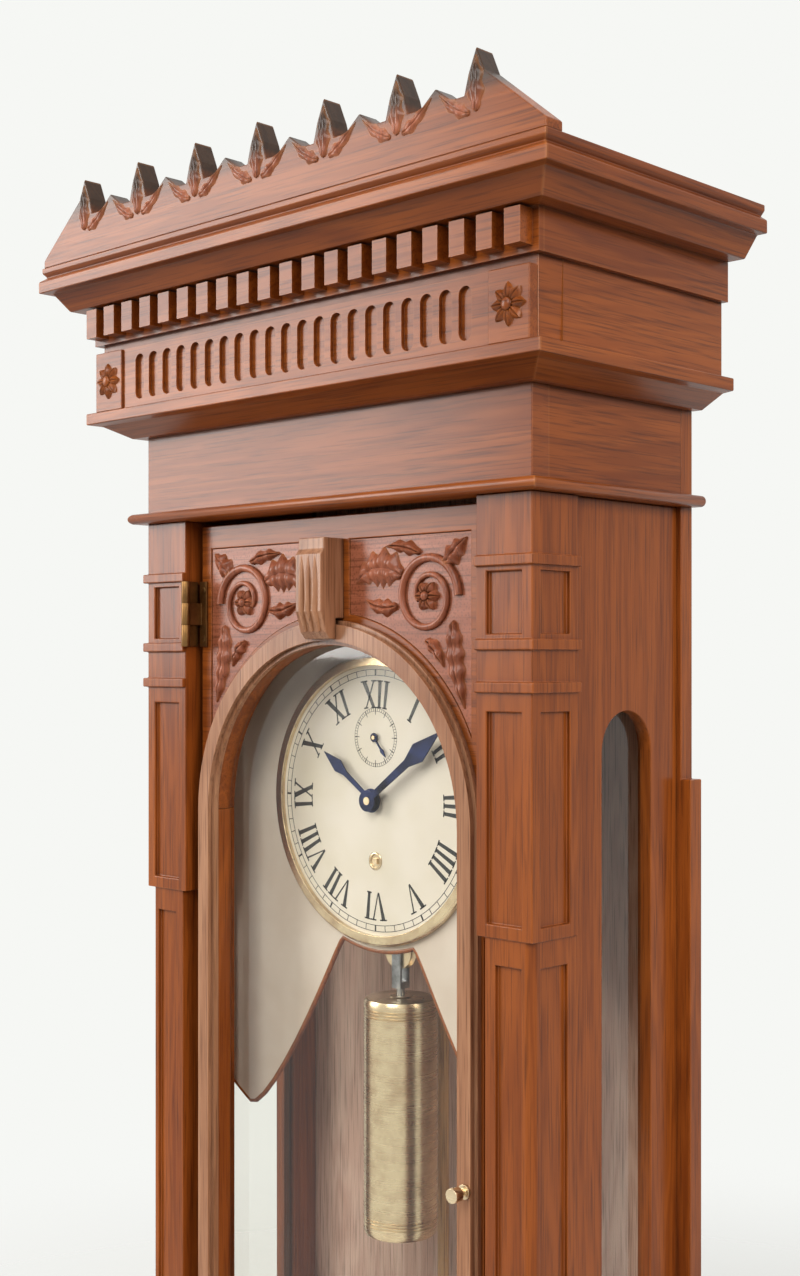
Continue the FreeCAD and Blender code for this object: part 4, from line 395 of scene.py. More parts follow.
# How each finish is made, with what that gives the eye
FINISHES = {
    # Posts, stiles and drops: the figure runs up and down under a soft sheen of wax
    "waxed_mahogany_upright": (polished_wood, "Z", "wood"),
    # Rails and shelves: the same, with the figure from side to side
    "waxed_mahogany_level": (polished_wood, "X", "wood"),
    # Mouldings: the figure follows each run and turns at the mitres
    "waxed_mahogany_mitred": (polished_wood, "mitre", "wood"),
    # Arch and keystone: a paler wood that paints in the sheen their mouldings catch, so that they stand out
    # as a pale ring round the dial
    "pale_mahogany_painted_sheen": (polished_wood, "Z", "pale"),
    # Back board: a greyed pink face behind the pendulum, painted light and painted reflection from the door
    # glass, and the colour of the case on its edges and rear
    "mahogany_board_painted_light": (polished_wood, "Z", "board", outside_lightened_face, "wood"),
    # Cresting: a row of nearly black tips over a band of the case wood
    "waxed_mahogany_black_tips": (polished_wood, "X", "wood", blackened_tips, "tip"),
    # Carved leaves: redder and lighter than the case, with dark wax and painted shade in every cut
    "carved_mahogany": (polished_wood, "Z", "carved"),
    # Leaves of the cresting: the same, blackened where they reach the tips
    "carved_mahogany_black_tips": (polished_wood, "Z", "carved", blackened_tips, "tip"),
    # Ground of the spandrels: matt, because a point has pitted it all over
    "punched_mahogany_ground": (polished_wood, "X", "carved", None, None, True),
    # Pendulum rod: straight pear wood, paler and yellower than the case
    "varnished_pear_rod": (polished_wood, "Z", "rod"),
    # Plates and wheels: brushing makes the gloss broad and a little streaked
    "brushed_plate_brass": (metal, "brass", "brass_dull", 0.34),
    # Weight, latch and nut: a tight gloss drawn up and down, with fine rings round the piece
    "lathe_turned_brass": (metal, "brass", "brass_dull", 0.27, "upright"),
    # Bob: spinning leaves rings round its middle, and the gloss fans out across them
    "spun_brass_bob": (metal, "brass", "brass_dull", 0.24, middle("pendulum_bob")),
    # Bezel: the same rings, about the middle of the dial
    "spun_brass_bezel": (metal, "brass", "brass_dull", 0.24, DIAL_CENTRE),
    # Hinges: browned, so that they sink into the wood and only their edges glint
    "bronzed_brass": (metal, "bronze", "bronze_dark", 0.42),
    # Hands: heat turns the polished steel a deep blue that looks black in the shade
    "heat_blued_steel": (metal, "blued", "ink", 0.3),
    # Anchor, suspension spring, stirrup and screws: grey and bright, with a blurred gloss from the file
    "filed_bright_steel": (metal, "steel", "iron", 0.36),
    # Hanger and bracket: a dull black varnish that hardly mirrors
    "japanned_iron": (metal, "iron", "ink", 0.5),
    # Dial: a white glassy ground, ivory in patches
    "fired_white_enamel": (fired_enamel, "enamel", "enamel_ivory"),
    # Numerals and tracks: glossy black that stands a little over the dial
    "fired_black_enamel": (fired_enamel, "ink", "iron"),
    # Dial mask: warm stone colour with a satin bloom
    "brushed_oil_paint": (brushed_paint, "paint"),
    # Panes: clear, with wavering reflections
    "drawn_window_glass": (drawn_glass,),
    # Weight line: amber bands of twisted gut
    "twisted_gut": (twisted_gut,),
}


def material_of(finish):
    """The material of a finish, made the first time it is asked for."""
    make, *details = FINISHES[finish]
    return bpy.data.materials.get(finish) or make(finish, *details)


# Meshes
def dress(name, finish, edge=0.0):
    """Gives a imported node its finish, and rounds its sharp edges with modifiers."""
    node = NODES[name]
    node.material_slots[0].material = material_of(finish)
    if not edge:
        return
    weld = node.modifiers.new("joined", "WELD")
    weld.merge_threshold = 0.01 * MM
    flat = node.modifiers.new("flat_faces", "DECIMATE")
    flat.decimate_type = "DISSOLVE"
    flat.angle_limit = math.radians(1)
    rounding = node.modifiers.new("rounded_edges", "BEVEL")
    rounding.width = edge
    rounding.segments = 2
    rounding.limit_method = "ANGLE"
    rounding.angle_limit = math.radians(32)
    rounding.use_clamp_overlap = True
    rounding.harden_normals = True


def piece(name, mesh, finish, body, replaced=(), crease=40):
    """Turns a finished bmesh into a piece that rides on a body."""
    bmesh.ops.remove_doubles(mesh, verts=mesh.verts, dist=0.001 * MM)
    bmesh.ops.recalc_face_normals(mesh, faces=mesh.faces)
    data = bpy.data.meshes.new(name)
    mesh.to_mesh(data)
    mesh.free()
    data.materials.append(material_of(finish))
    data.shade_smooth()
    data.set_sharp_from_angle(angle=math.radians(crease))
    made = bpy.data.objects.new(name, data)
    bpy.context.scene.collection.objects.link(made)
    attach(made, body)
    if replaced:
        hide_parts(*replaced)
    return made


def band(mesh, low, high):
    """Joins two closed loops of points by faces with four corners."""
    for i in range(len(low)):
        j = (i + 1) % len(low)
        mesh.faces.new((low[i], low[j], high[j], high[i]))


def skin(mesh, rings):
    """Joins rings of points, given in order, and closes both ends."""
    rows = [[mesh.verts.new(point) for point in ring] for ring in rings]
    for low, high in zip(rows, rows[1:]):
        band(mesh, low, high)
    mesh.faces.new(rows[0][::-1])
    mesh.faces.new(rows[-1])


def lathe(mesh, profile, centre, axis="Z", steps=72):
    """Turns a profile of (radius, distance) about an axis; along Y, the distance runs to the front."""
    rings = []
    for radius, reach in profile:
        ring = []
        for i in range(steps):
            angle = FULL_TURN * i / steps
            u = radius * math.cos(angle)
            v = radius * math.sin(angle)
            ring.append(Vector(centre) + Vector((u, v, reach) if axis == "Z" else (u, -reach, v)))
        rings.append(ring)
    skin(mesh, rings)


def tube(mesh, path, radii, sides=12, up=Vector((0, 1, 0))):
    """A round bar along a path, with a radius at each point."""
    rings = []
    for i, point in enumerate(path):
        along = path[min(i + 1, len(path) - 1)] - path[max(i - 1, 0)]
        across = along.cross(up).normalized()
        over = across.cross(along).normalized()
        rings.append([point + radii[i] * (math.cos(a) * across + math.sin(a) * over)
                      for a in (FULL_TURN * k / sides for k in range(sides))])
    skin(mesh, rings)


def prism(mesh, outline, front, back):
    """A flat shape in X and Z with straight sides."""
    skin(mesh, [[(x, y, z) for x, z in outline] for y in (front, back)])


def ring_plate(mesh, inner, outer, front, back):
    """A flat ring between two outlines in X and Z that have the same number of points."""
    loops = [[mesh.verts.new((x, y, z)) for x, z in outline]
             for outline, y in ((inner, front), (outer, front), (outer, back), (inner, back))]
    for near, far in zip(loops, loops[1:] + loops[:1]):
        band(mesh, near, far)


def bend(points, share):
    """A point on the curve that three points steer, and the curve's direction there."""
    a, b, c = (Vector(p) for p in points)
    place = a * (1 - share) ** 2 + b * 2 * share * (1 - share) + c * share ** 2
    along = (b - a) * (1 - share) + (c - b) * share
    return place, along.normalized()


def leaf(mesh, spine, half_width, rise, face, lobes=4, steps=36, across=12):
    """A carved leaf on a face: lobed edges, a sunk middle rib and side veins. The spine is in X and Z."""
    sink = 0.3 * MM
    lobe_depth, vein_depth = 0.2, 0.16
    rib_depth, rib_width = 0.4, 0.16
    rows = []
    for i in range(steps + 1):
        share = i / steps
        place, along = bend(spine, share)
        side = Vector((-along.y, along.x))
        # Widest a little below the middle, and never quite a point at the ends
        belly = max(math.sin(math.pi * share ** 0.75), 0.02) ** 0.75
        reach = half_width * belly * (1 + lobe_depth * math.cos(FULL_TURN * lobes * share))
        row = []
        for k in range(across + 1):
            v = 2 * k / across - 1
            dome = (1 - abs(v) ** 2.2) * belly ** 0.5
            rib = 1 - rib_depth * math.exp(-(v / rib_width) ** 2)
            vein = 1 + vein_depth * math.cos(FULL_TURN * (lobes * share - 0.5 * abs(v)))
            spot = place + side * reach * v
            row.append(mesh.verts.new((spot.x, face + sink - rise * dome * rib * vein, spot.y)))
        rows.append(row)
    for low, high in zip(rows, rows[1:]):
        for k in range(across):
            mesh.faces.new((low[k], low[k + 1], high[k + 1], high[k]))
        mesh.faces.new((low[0], high[0], high[-1], low[-1]))
    mesh.faces.new(rows[0])
    mesh.faces.new(rows[-1])


def rosette(mesh, centre, radius, rise, face, petals=6):
    """A ring of petals round a button that is domed over the upper half of its height."""
    heart = Vector(centre)
    petal_half = radius * 2.2 / petals
    for i in range(petals):
        angle = FULL_TURN * i / petals
        out = Vector((math.cos(angle), math.sin(angle))) * radius
        # From under the button to the rim
        spine = [heart + out * share for share in (0.22, 0.6, 1)]
        leaf(mesh, spine, petal_half, rise, face, lobes=0, steps=14, across=8)
    button, button_rise = 0.3 * radius, 1.2 * rise
    sink = 0.3 * MM
    steps = 8
    dome = [(button * math.cos(t), button_rise * (0.5 + 0.5 * math.sin(t)))
            for t in (math.pi / 2 * k / steps for k in range(steps))]
    lathe(mesh, [(button, -sink)] + dome + [(0.02 * radius, button_rise)],
          (centre[0], face, centre[1]), axis="Y", steps=28)


def scroll(mesh, centre, radius, start, turns, thick, face, hand):
    """A stem that winds inwards round a centre; hand is 1 for anticlockwise as seen from the front."""
    eye = 0.3 * radius
    thinning = 0.45
    path = []
    radii = []
    steps = round(40 * turns)
    for i in range(steps + 1):
        share = i / steps
        angle = start + hand * FULL_TURN * turns * share
        reach = radius * (1 - share) ** 0.8 + eye * share
        path.append(Vector((centre[0] + reach * math.cos(angle), face - 0.25 * thick,
                            centre[1] + reach * math.sin(angle))))
        radii.append(thick * (1 - thinning * share))
    tube(mesh, path, radii, sides=10)


def slotted_screw(mesh, centre, radius, turn, towards=-1):
    """A flat countersunk screw head: two halves that leave the slot open over a sunk floor."""
    rise = 0.35 * MM
    slot = 0.16 * radius
    low_angle = math.asin(slot / radius)
    arc_steps, floor_steps = 14, 28
    top_share, floor_radius = 0.9, 0.97 * radius
    rim_level, floor_level = 0.6 * rise, 0.15 * rise

    def spot(u, v, out):
        x = u * math.cos(turn) - v * math.sin(turn)
        z = u * math.sin(turn) + v * math.cos(turn)
        return Vector(centre) + Vector((x, towards * out, z))

    arc = [low_angle + (math.pi - 2 * low_angle) * k / arc_steps for k in range(arc_steps + 1)]
    for sign in (1, -1):
        rim = [(radius * math.cos(a), sign * radius * math.sin(a)) for a in arc]
        top = [(top_share * u, sign * slot + top_share * (v - sign * slot)) for u, v in rim]
        skin(mesh, [[spot(u, v, out) for u, v in ring]
                    for ring, out in ((rim, -rise), (rim, rim_level), (top, rise))])
    circle = [FULL_TURN * k / floor_steps for k in range(floor_steps)]
    skin(mesh, [[spot(floor_radius * math.cos(a), floor_radius * math.sin(a), out) for a in circle]
                for out in (-rise, floor_level)])


def on_dial(angle, radius, centre=None):
    """A place on the dial, clockwise from twelve, in X and Z."""
    x, z = centre or (DIAL_CENTRE.x, DIAL_CENTRE.z)
    return x + radius * math.sin(angle), z + radius * math.cos(angle)


def circle_mark(mesh, radius, width, centre=None, steps=240):
    """A painted circle."""
    edges = [[on_dial(FULL_TURN * i / steps, reach, centre) for i in range(steps)]
             for reach in (radius - width / 2, radius + width / 2)]
    ring_plate(mesh, edges[0], edges[1], DIAL_FACE - sizes().paint, DIAL_FACE + sizes().paint)


def bar_mark(mesh, angle, inner, outer, width, centre=None):
    """A painted stroke that points at the middle."""
    corners = [on_dial(angle + side * width / 2 / radius, radius, centre)
               for radius, side in ((inner, -1), (outer, -1), (outer, 1), (inner, 1))]
    prism(mesh, corners, DIAL_FACE - sizes().paint, DIAL_FACE + sizes().paint)


# Roman letters in shares of their height: the room each takes, its bars as left and right at the foot and
# at the head, and its serifs as left, right and lower edge
LETTERS = {
    "I": (0.26, [(0.06, 0.2, 0.06, 0.2)], [(0, 0.26, 0), (0, 0.26, 0.95)]),
    "V": (0.66, [(0.28, 0.36, 0.04, 0.2), (0.31, 0.36, 0.55, 0.61)],
          [(-0.02, 0.28, 0.95), (0.45, 0.7, 0.95)]),
    "X": (0.66, [(0.47, 0.64, 0.03, 0.2), (0.06, 0.13, 0.53, 0.6)],
          [(-0.03, 0.27, 0.95), (0.44, 0.69, 0.95), (-0.02, 0.22, 0), (0.4, 0.7, 0)]),
}
SERIF = 0.05
NUMERALS = ("XII", "I", "II", "III", "IIII", "V", "VI", "VII", "VIII", "IX", "X", "XI")


def numeral(mesh, word, angle):
    """One hour in Roman strokes, its foot towards the middle, bent to the ring."""
    gap = 0.05
    height = sizes().numeral_height
    foot = sizes().numeral_foot
    start = -(sum(LETTERS[letter][0] for letter in word) + gap * (len(word) - 1)) / 2
    for letter in word:
        room, bars, serifs = LETTERS[letter]
        strokes = [((a, 0), (b, 0), (d, 1), (c, 1)) for a, b, c, d in bars]
        strokes += [((a, low), (b, low), (b, low + SERIF), (a, low + SERIF)) for a, b, low in serifs]
        for stroke in strokes:
            corners = [on_dial(angle + (start + u) * height / (foot + height / 2), foot + v * height)
                       for u, v in stroke]
            prism(mesh, corners, DIAL_FACE - sizes().paint, DIAL_FACE + sizes().paint)
        start += room + gap


class ClockOperator:
    """What every step of the clock shares."""
    bl_options = {"REGISTER", "UNDO"}


class CLOCK_OT_woodwork(ClockOperator, bpy.types.Operator):
    """Polishes the case, door and mouldings and rounds their edges"""
    bl_idname = "clock.woodwork"
    bl_label = "Case Woodwork"

    def execute(self, context):
        for finish, names in (
                ("waxed_mahogany_upright", ("right_corner_post", "left_corner_post", "right_side_frame",
                                            "left_side_frame", "door_left_stile", "door_right_stile",
                                            "drop_finials")),
                ("waxed_mahogany_level", ("top_board", "floor_board", "bottom_board", "door_bottom_rail",
                                          "door_arch_head", "frieze_panel")),
                ("waxed_mahogany_mitred", ("cornice_moulding", "frieze_moulding", "astragal_moulding",
                                           "base_moulding", "frieze_boards", "dentil_course", "head_boards",
                                           "plinth_boards")),
                # Arch and keystone take a paler wood as painted sheen
                ("pale_mahogany_painted_sheen", ("arch_moulding", "keystone")),
                # The back board's face is painted lighter, as painted light and painted reflection from the
                # glass
                ("mahogany_board_painted_light", ("backboard",)),
                ("waxed_mahogany_black_tips", ("cresting",))):
            for name in names:
                dress(name, finish, sizes().edge)
        dress("spandrel_panels", "punched_mahogany_ground")
        return {"FINISHED"}


class CLOCK_OT_spandrels(ClockOperator, bpy.types.Operator):
    """Carves leaf scrolls over the two spandrels of the door"""
    bl_idname = "clock.spandrels"
    bl_label = "Spandrel Carving"

    def execute(self, context):
        rise = sizes().carving_rise
        heart_x, heart_z = 96 * MM, -181 * MM
        scroll_radius, scroll_turns, stem = 29 * MM, 1.55, 3.2 * MM
        flower = 11 * MM
        # Leaves round the scroll, in mm: three points of the spine in X and Z, half width, lobes
        leaves = (
            (((72, -166), (48, -152), (26, -170)), 13, 5),
            (((67, -187), (52, -191), (36, -182)), 6, 3),
            (((112, -160), (121, -151), (132, -142)), 8, 3),
            (((120, -198), (119, -226), (130, -258)), 8, 5),
            (((95, -211), (104, -216), (111, -230)), 5, 3),
            (((89, -151), (75, -144), (55, -145)), 5, 3),
        )
        for side, hand in (("right", 1), ("left", -1)):
            mesh = bmesh.new()
            for spine, half_width, lobes in leaves:
                points = [(hand * x * MM, z * MM) for x, z in spine]
                leaf(mesh, points, half_width * MM, rise, SPANDREL_FACE, lobes)
            heart = (hand * heart_x, heart_z)
            start = 0 if hand == 1 else math.pi
            scroll(mesh, heart, scroll_radius, start, scroll_turns, stem, SPANDREL_FACE, hand)
            rosette(mesh, heart, flower, rise, SPANDREL_FACE)
            piece(f"spandrel_carving_{side}", mesh, "carved_mahogany", "door")
        return {"FINISHED"}


class CLOCK_OT_keystone_reeds(ClockOperator, bpy.types.Operator):
    """Lays three reeds down the face of the keystone"""
    bl_idname = "clock.keystone_reeds"
    bl_label = "Keystone Reeds"

    def execute(self, context):
        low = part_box("keystone")[0]
        # Down a reed, in mm: height over the foot, depth behind the face, radius
        stations = ((60, 0.6, 0.8), (50, 0.6, 2.3), (40, 0.6, 2.7), (30, 0.6, 2.8), (21, 0.7, 2.7),
                    (14, 2.5, 2.4), (6, 5, 1.6))
        spacing = 7 * MM
        mesh = bmesh.new()
        for across in (-spacing, 0, spacing):
            path = [Vector((across, low.y + depth * MM, low.z + up * MM)) for up, depth, radius in stations]
            radii = [radius * MM for up, depth, radius in stations]
            tube(mesh, path, radii, sides=14, up=Vector((1, 0, 0)))
        # The reeds take the keystone's paler wood, a painted sheen
        piece("keystone_reeds", mesh, "pale_mahogany_painted_sheen", "door")
        return {"FINISHED"}


class CLOCK_OT_crest_leaves(ClockOperator, bpy.types.Operator):
    """Carves a leaf on each spike of the cresting and a pair of them below each low knop"""
    bl_idname = "clock.crest_leaves"
    bl_label = "Crest Leaves"

    def execute(self, context):
        low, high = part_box("cresting")
        spikes, pitch = 7, 68 * MM
        foot = high.z - 40 * MM
        middle_height, tip = foot + 18 * MM, high.z - 5 * MM
        tall_half, tall_rise = 6.5 * MM, 3 * MM
        side_half, side_rise = 4.5 * MM, 2.4 * MM
        # Spine of the leaf on the right of a spike, in mm: out from the spike and up from its foot
        side_spine = ((5, 0), (15, 2), (pitch / 2 / MM - 3, 17))
        mesh = bmesh.new()
        for i in range(spikes):
            x = (i - (spikes - 1) / 2) * pitch
            leaf(mesh, [(x, foot), (x, middle_height), (x, tip)], tall_half, tall_rise, low.y, lobes=3)
            for side in (-1, 1):
                if 0 <= i + side < spikes:
                    spine = [(x + side * out * MM, foot + up * MM) for out, up in side_spine]
                    leaf(mesh, spine, side_half, side_rise, low.y, lobes=3)
        piece("crest_leaves", mesh, "carved_mahogany_black_tips", "case")
        return {"FINISHED"}


class CLOCK_OT_frieze_rosettes(ClockOperator, bpy.types.Operator):
    """Carves a rosette on each end block of the frieze"""
    bl_idname = "clock.frieze_rosettes"
    bl_label = "Frieze Rosettes"

    def execute(self, context):
        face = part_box("frieze_boards")[0].y
        block = (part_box("frieze_boards")[1].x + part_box("frieze_panel")[1].x) / 2
        radius, rise = 14 * MM, 3.5 * MM
        mesh = bmesh.new()
        for side in (-1, 1):
            rosette(mesh, (side * block, middle("frieze_panel").z), radius, rise, face, petals=8)
        piece("frieze_rosettes", mesh, "waxed_mahogany_level", "case")
        return {"FINISHED"}


class CLOCK_OT_glazing(ClockOperator, bpy.types.Operator):
    """Glazes the door and the side windows"""
    bl_idname = "clock.glazing"
    bl_label = "Glazing"

    def execute(self, context):
        dress("door_glass", "drawn_window_glass")
        dress("side_glasses", "drawn_window_glass")
        return {"FINISHED"}


class CLOCK_OT_dial(ClockOperator, bpy.types.Operator):
    """Enamels the dial and paints its hours, minute track and seconds track"""
    bl_idname = "clock.dial"
    bl_label = "Dial"

    def execute(self, context):
        size = sizes()
        dress("dial", "fired_white_enamel")
        dress("dial_bezel", "spun_brass_bezel", size.metal_edge)
        hours = bmesh.new()
        for hour, word in enumerate(NUMERALS):
            numeral(hours, word, FULL_TURN * hour / len(NUMERALS))
        piece("dial_hours", hours, "fired_black_enamel", "case")
        tracks = bmesh.new()
        seconds = (0, middle("escape_wheel").z)
        for centre, inner, outer, fine in ((None, size.track_inner, size.track_outer, 0.45 * MM),
                                           (seconds, size.seconds_inner, size.seconds_outer, 0.25 * MM)):
            circle_mark(tracks, inner, fine, centre)
            circle_mark(tracks, outer, fine, centre)
            for minute in range(60):
                bold = 3.2 if minute % 5 == 0 else 1.2
                bar_mark(tracks, FULL_TURN * minute / 60, inner, outer, bold * fine, centre)
        # Longer marks inside the seconds track, one for every five seconds
        long_mark, long_width = 2.5 * MM, 0.5 * MM
        for mark in range(12):
            bar_mark(tracks, FULL_TURN * mark / 12, size.seconds_inner - long_mark, size.seconds_inner,
                     long_width, seconds)
        piece("dial_tracks", tracks, "fired_black_enamel", "case")
        # The ring round the winding hole, in mm: radius and height over the dial
        collet_section = ((5, -0.5), (5, 0.5), (5.4, 0.9), (6.2, 0.9), (6.8, 0.4), (6.8, -0.5), (5, -0.5))
        winding = (0, DIAL_FACE, middle("winding_drum").z)
        collet = bmesh.new()
        lathe(collet, [(radius * MM, rise * MM) for radius, rise in collet_section], winding, axis="Y")
        piece("winding_collet", collet, "spun_brass_bezel", "case")
        return {"FINISHED"}


class CLOCK_OT_dial_mask(ClockOperator, bpy.types.Operator):
    """Fits a thin painted mask round the dial, with a wing on each side of the weight"""
    bl_idname = "clock.dial_mask"
    bl_label = "Dial Mask"

    def execute(self, context):
        size = sizes()
        steps = 360
        angles = [FULL_TURN * i / steps for i in range(steps)]
        inner = [on_dial(angle, size.mask_inner) for angle in angles]
        outer = [on_dial(angle, self.reach(abs(angle - math.pi))) for angle in angles]
        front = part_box("dial_bezel")[1].y
        mesh = bmesh.new()
        ring_plate(mesh, inner, outer, front, front + size.mask_thick)
        piece("dial_mask", mesh, "brushed_oil_paint", "case")
        # The bead ends where the wings meet the side frames
        bead = 2 * MM
        low_edge = [Vector((x, front + size.mask_thick / 2, z)) for x, z in outer
                    if z < DIAL_CENTRE.z and abs(x) < INNER_SIDE - 2 * bead]
        mesh = bmesh.new()
        tube(mesh, low_edge, [bead] * len(low_edge), sides=10)
        piece("dial_mask_bead", mesh, "waxed_mahogany_upright", "case")
        return {"FINISHED"}

    def reach(self, down):
        """How far the mask reaches from the dial's centre, by the angle from straight down."""
        size = sizes()
        play = 0.5 * MM
        tiny = 0.001
        side = (INNER_SIDE - play) / max(math.sin(down), tiny)
        top = size.mask_rise / max(-math.cos(down), tiny)
        # The lower edge sweeps from the ring to the wing between these two angles
        low, high = math.radians(19), math.radians(30)
        share = min(max((down - low) / (high - low), 0), 1)
        sweep = share * share * (3 - 2 * share)
        wing = size.mask_ring + (size.mask_wing - size.mask_ring) * sweep
        return min(side, top, wing) if down < math.pi / 2 else min(side, top)


class CLOCK_OT_movement(ClockOperator, bpy.types.Operator):
    """Finishes the hands, wheels, plates, suspension and hinges"""
    bl_idname = "clock.movement"
    bl_label = "Movement and Fittings"

    def execute(self, context):
        for finish, names in (
                ("heat_blued_steel", ("hour_hand", "minute_hand", "second_hand")),
                ("bronzed_brass", ("case_hinge_leaves", "door_hinge_leaves")),
                ("brushed_plate_brass", ("suspension_cock", "beat_scale")),
                ("lathe_turned_brass", ("door_latch",)),
                ("japanned_iron", ("hanger_plate", "movement_bracket"))):
            for name in names:
                dress(name, finish, sizes().metal_edge)
        for name in ("front_plate", "back_plate", "movement_pillars", "centre_wheel", "hour_wheel",
                     "minute_wheel", "third_wheel", "escape_wheel", "great_wheel", "winding_drum",
                     "weight_pulley"):
            dress(name, "brushed_plate_brass")
        for name in ("pallet_anchor", "suspension_spring", "weight_stirrup"):
            dress(name, "filed_bright_steel")
        return {"FINISHED"}


class CLOCK_OT_screws(ClockOperator, bpy.types.Operator):
    """Drives the screws of the hinges, hanger plate, bracket, beat scale and movement plates"""
    bl_idname = "clock.screws"
    bl_label = "Screws"

    def execute(self, context):
        small = sizes().screw_radius
        large = 3.4 * MM
        # Half the distance between the two screws of a pair
        plate_half, scale_half = 42 * MM, 50 * MM
        bracket_half, hanger_half = 53 * MM, 12 * MM
        plate_heights = (-420 * MM, -246 * MM)
        bracket_heights = (-378 * MM,)
        hanger_heights = (-20 * MM, 20 * MM)
        # The screws of a door hinge lie on its leaf, above and below its middle
        low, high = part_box("door_hinge_leaves")
        half_hinge, from_middle = 25.5 * MM, 19 * MM
        from_edge, leaf_thick = 3.4 * MM, 2 * MM
        mesh = bmesh.new()
        self.drive(mesh, [(high.x - from_edge, high.y - leaf_thick, z + up)
                          for z in (high.z - half_hinge, low.z + half_hinge)
                          for up in (-from_middle, from_middle)], small, turn=0.4, step=1.1)
        piece("hinge_screws", mesh, "bronzed_brass", "door")
        mesh = bmesh.new()
        for y, towards in ((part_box("front_plate")[0].y, -1), (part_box("back_plate")[1].y, 1)):
            self.drive(mesh, self.pairs(plate_half, y, plate_heights), large, 4.8, 0.9, towards)
        scale = self.pairs(scale_half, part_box("beat_scale")[0].y, (middle("beat_scale").z,))
        self.drive(mesh, scale, small, turn=8.4, step=0.7)
        foot_thick = 5 * MM
        bracket = self.pairs(bracket_half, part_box("movement_bracket")[1].y - foot_thick, bracket_heights)
        self.drive(mesh, bracket, small, turn=9.8, step=0)
        piece("movement_screws", mesh, "filed_bright_steel", "case")
        # These heads lie just inside the back, so that the clock hangs flat
        inside = -0.36 * MM
        mesh = bmesh.new()
        self.drive(mesh, self.pairs(hanger_half, inside, hanger_heights), small, 9.8, 1.3, towards=1)
        piece("hanger_screws", mesh, "japanned_iron", "case")
        return {"FINISHED"}

    def pairs(self, half_wide, y, heights):
        """Places on both sides of the middle, at each height."""
        return [(side * half_wide, y, z) for side in (-1, 1) for z in heights]

    def drive(self, mesh, places, radius, turn, step, towards=-1):
        """Drives a screw at each place. The first slot stands at the turn, and each next a step on."""
        for number, place in enumerate(places):
            slotted_screw(mesh, place, radius, turn + number * step, towards)


class CLOCK_OT_weight(ClockOperator, bpy.types.Operator):
    """Turns the brass weight and hangs it on its line"""
    bl_idname = "clock.weight"
    bl_label = "Weight and Line"

    def execute(self, context):
        low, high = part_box("weight")
        wide, tall = high.x / MM, (high.z - low.z) / MM
        # In mm: a drum with a rolled foot, two bands of grooves and a stepped cap
        profile = [(0.3, 0), (wide - 4, 0), (wide - 1.2, 1.2), (wide, 4)]
        groove_pitch, groove_depth = 2.4, 0.6
        for lowest in (9, tall - 14):
            for groove in range(3):
                at = lowest + groove * groove_pitch
                profile += [(wide, at), (wide - groove_depth, at + 0.5), (wide - groove_depth, at + 0.9),
                            (wide, at + 1.4)]
        profile += [(wide, tall - 4), (wide - 1.2, tall - 1.4), (wide - 3, tall - 0.8), (9, tall - 0.8),
                    (8, tall), (0.3, tall)]
        mesh = bmesh.new()
        lathe(mesh, [(radius * MM, z * MM) for radius, z in profile], (0, LINE_Y, low.z), steps=96)
        piece("weight_drum", mesh, "lathe_turned_brass", "weight_body", ["weight"], crease=30)
        self.hang_line()
        return {"FINISHED"}

    def hang_line(self):
        """Two falls of the line, and the loop under the pulley that goes with the weight."""
        low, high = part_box("weight_line")
        thick = (high.y - low.y) / 2
        wrap = high.x - thick
        pulley = middle("weight_pulley")
        right_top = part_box("front_plate")[0].z + 2 * MM
        steps = 24
        falls = (("line_left_fall", -wrap, high.z), ("line_right_fall", wrap, right_top))
        for name, x, top in falls:
            mesh = bmesh.new()
            path = [Vector((x, LINE_Y, top + (pulley.z - top) * i / steps)) for i in range(steps + 1)]
            tube(mesh, path, [thick] * len(path), sides=10)
            fall = piece(name, mesh, "twisted_gut", "case", ["weight_line"] if x < 0 else ())
            fall.parent = None
            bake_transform(fall)
        mesh = bmesh.new()
        angles = [math.pi * i / steps for i in range(steps + 1)]
        path = [Vector((-wrap * math.cos(a), LINE_Y, pulley.z - wrap * math.sin(a))) for a in angles]
        tube(mesh, path, [thick] * len(path), sides=10)
        piece("line_loop", mesh, "twisted_gut", "weight_body")


class CLOCK_OT_pendulum(ClockOperator, bpy.types.Operator):
    """Finishes the pendulum, knurls its nut and marks the beat scale"""
    bl_idname = "clock.pendulum"
    bl_label = "Pendulum"

    def execute(self, context):
        dress("pendulum_rod", "varnished_pear_rod")
        dress("pendulum_bob", "spun_brass_bob")
        self.knurl_nut()
        low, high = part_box("beat_scale")
        spacing, half, paint = 2.2 * MM, 0.3 * MM, 0.1 * MM
        top = high.z - 2 * MM
        mesh = bmesh.new()
        for step in range(-20, 21):
            x = step * spacing
            foot = top - (9 if step % 10 == 0 else 6.5 if step % 5 == 0 else 4) * MM
            prism(mesh, [(x - half, foot), (x + half, foot), (x + half, top), (x - half, top)],
                  low.y - paint, low.y + paint)
        piece("beat_marks", mesh, "fired_black_enamel", "case")
        return {"FINISHED"}

    def knurl_nut(self):
        """The rating nut: a knurled rim between two plain collars."""
        low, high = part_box("rating_nut")
        radius = high.x
        tall = high.z - low.z
        count = sizes().knurls * 2
        rings = []
        # Up the lower half, as shares of the nut: radius, height and depth of the ridges
        lower = [(0.55, 0, 0), (0.62, 0.06, 0), (0.86, 0.2, 0), (0.94, 0.26, 0), (0.97, 0.3, 0.03)]
        upper = [(share, 1 - level, ridge) for share, level, ridge in reversed(lower)]
        for share, level, ridge in lower + upper:
            ring = []
            for i in range(count):
                angle = FULL_TURN * i / count
                reach = radius * (share + ridge * (1 if i % 2 else -1))
                x, y = reach * math.cos(angle), ROD_Y + reach * math.sin(angle)
                ring.append(Vector((x, y, low.z + tall * level)))
            rings.append(ring)
        mesh = bmesh.new()
        skin(mesh, rings)
        piece("knurled_nut", mesh, "lathe_turned_brass", "nut", ["rating_nut"], crease=25)


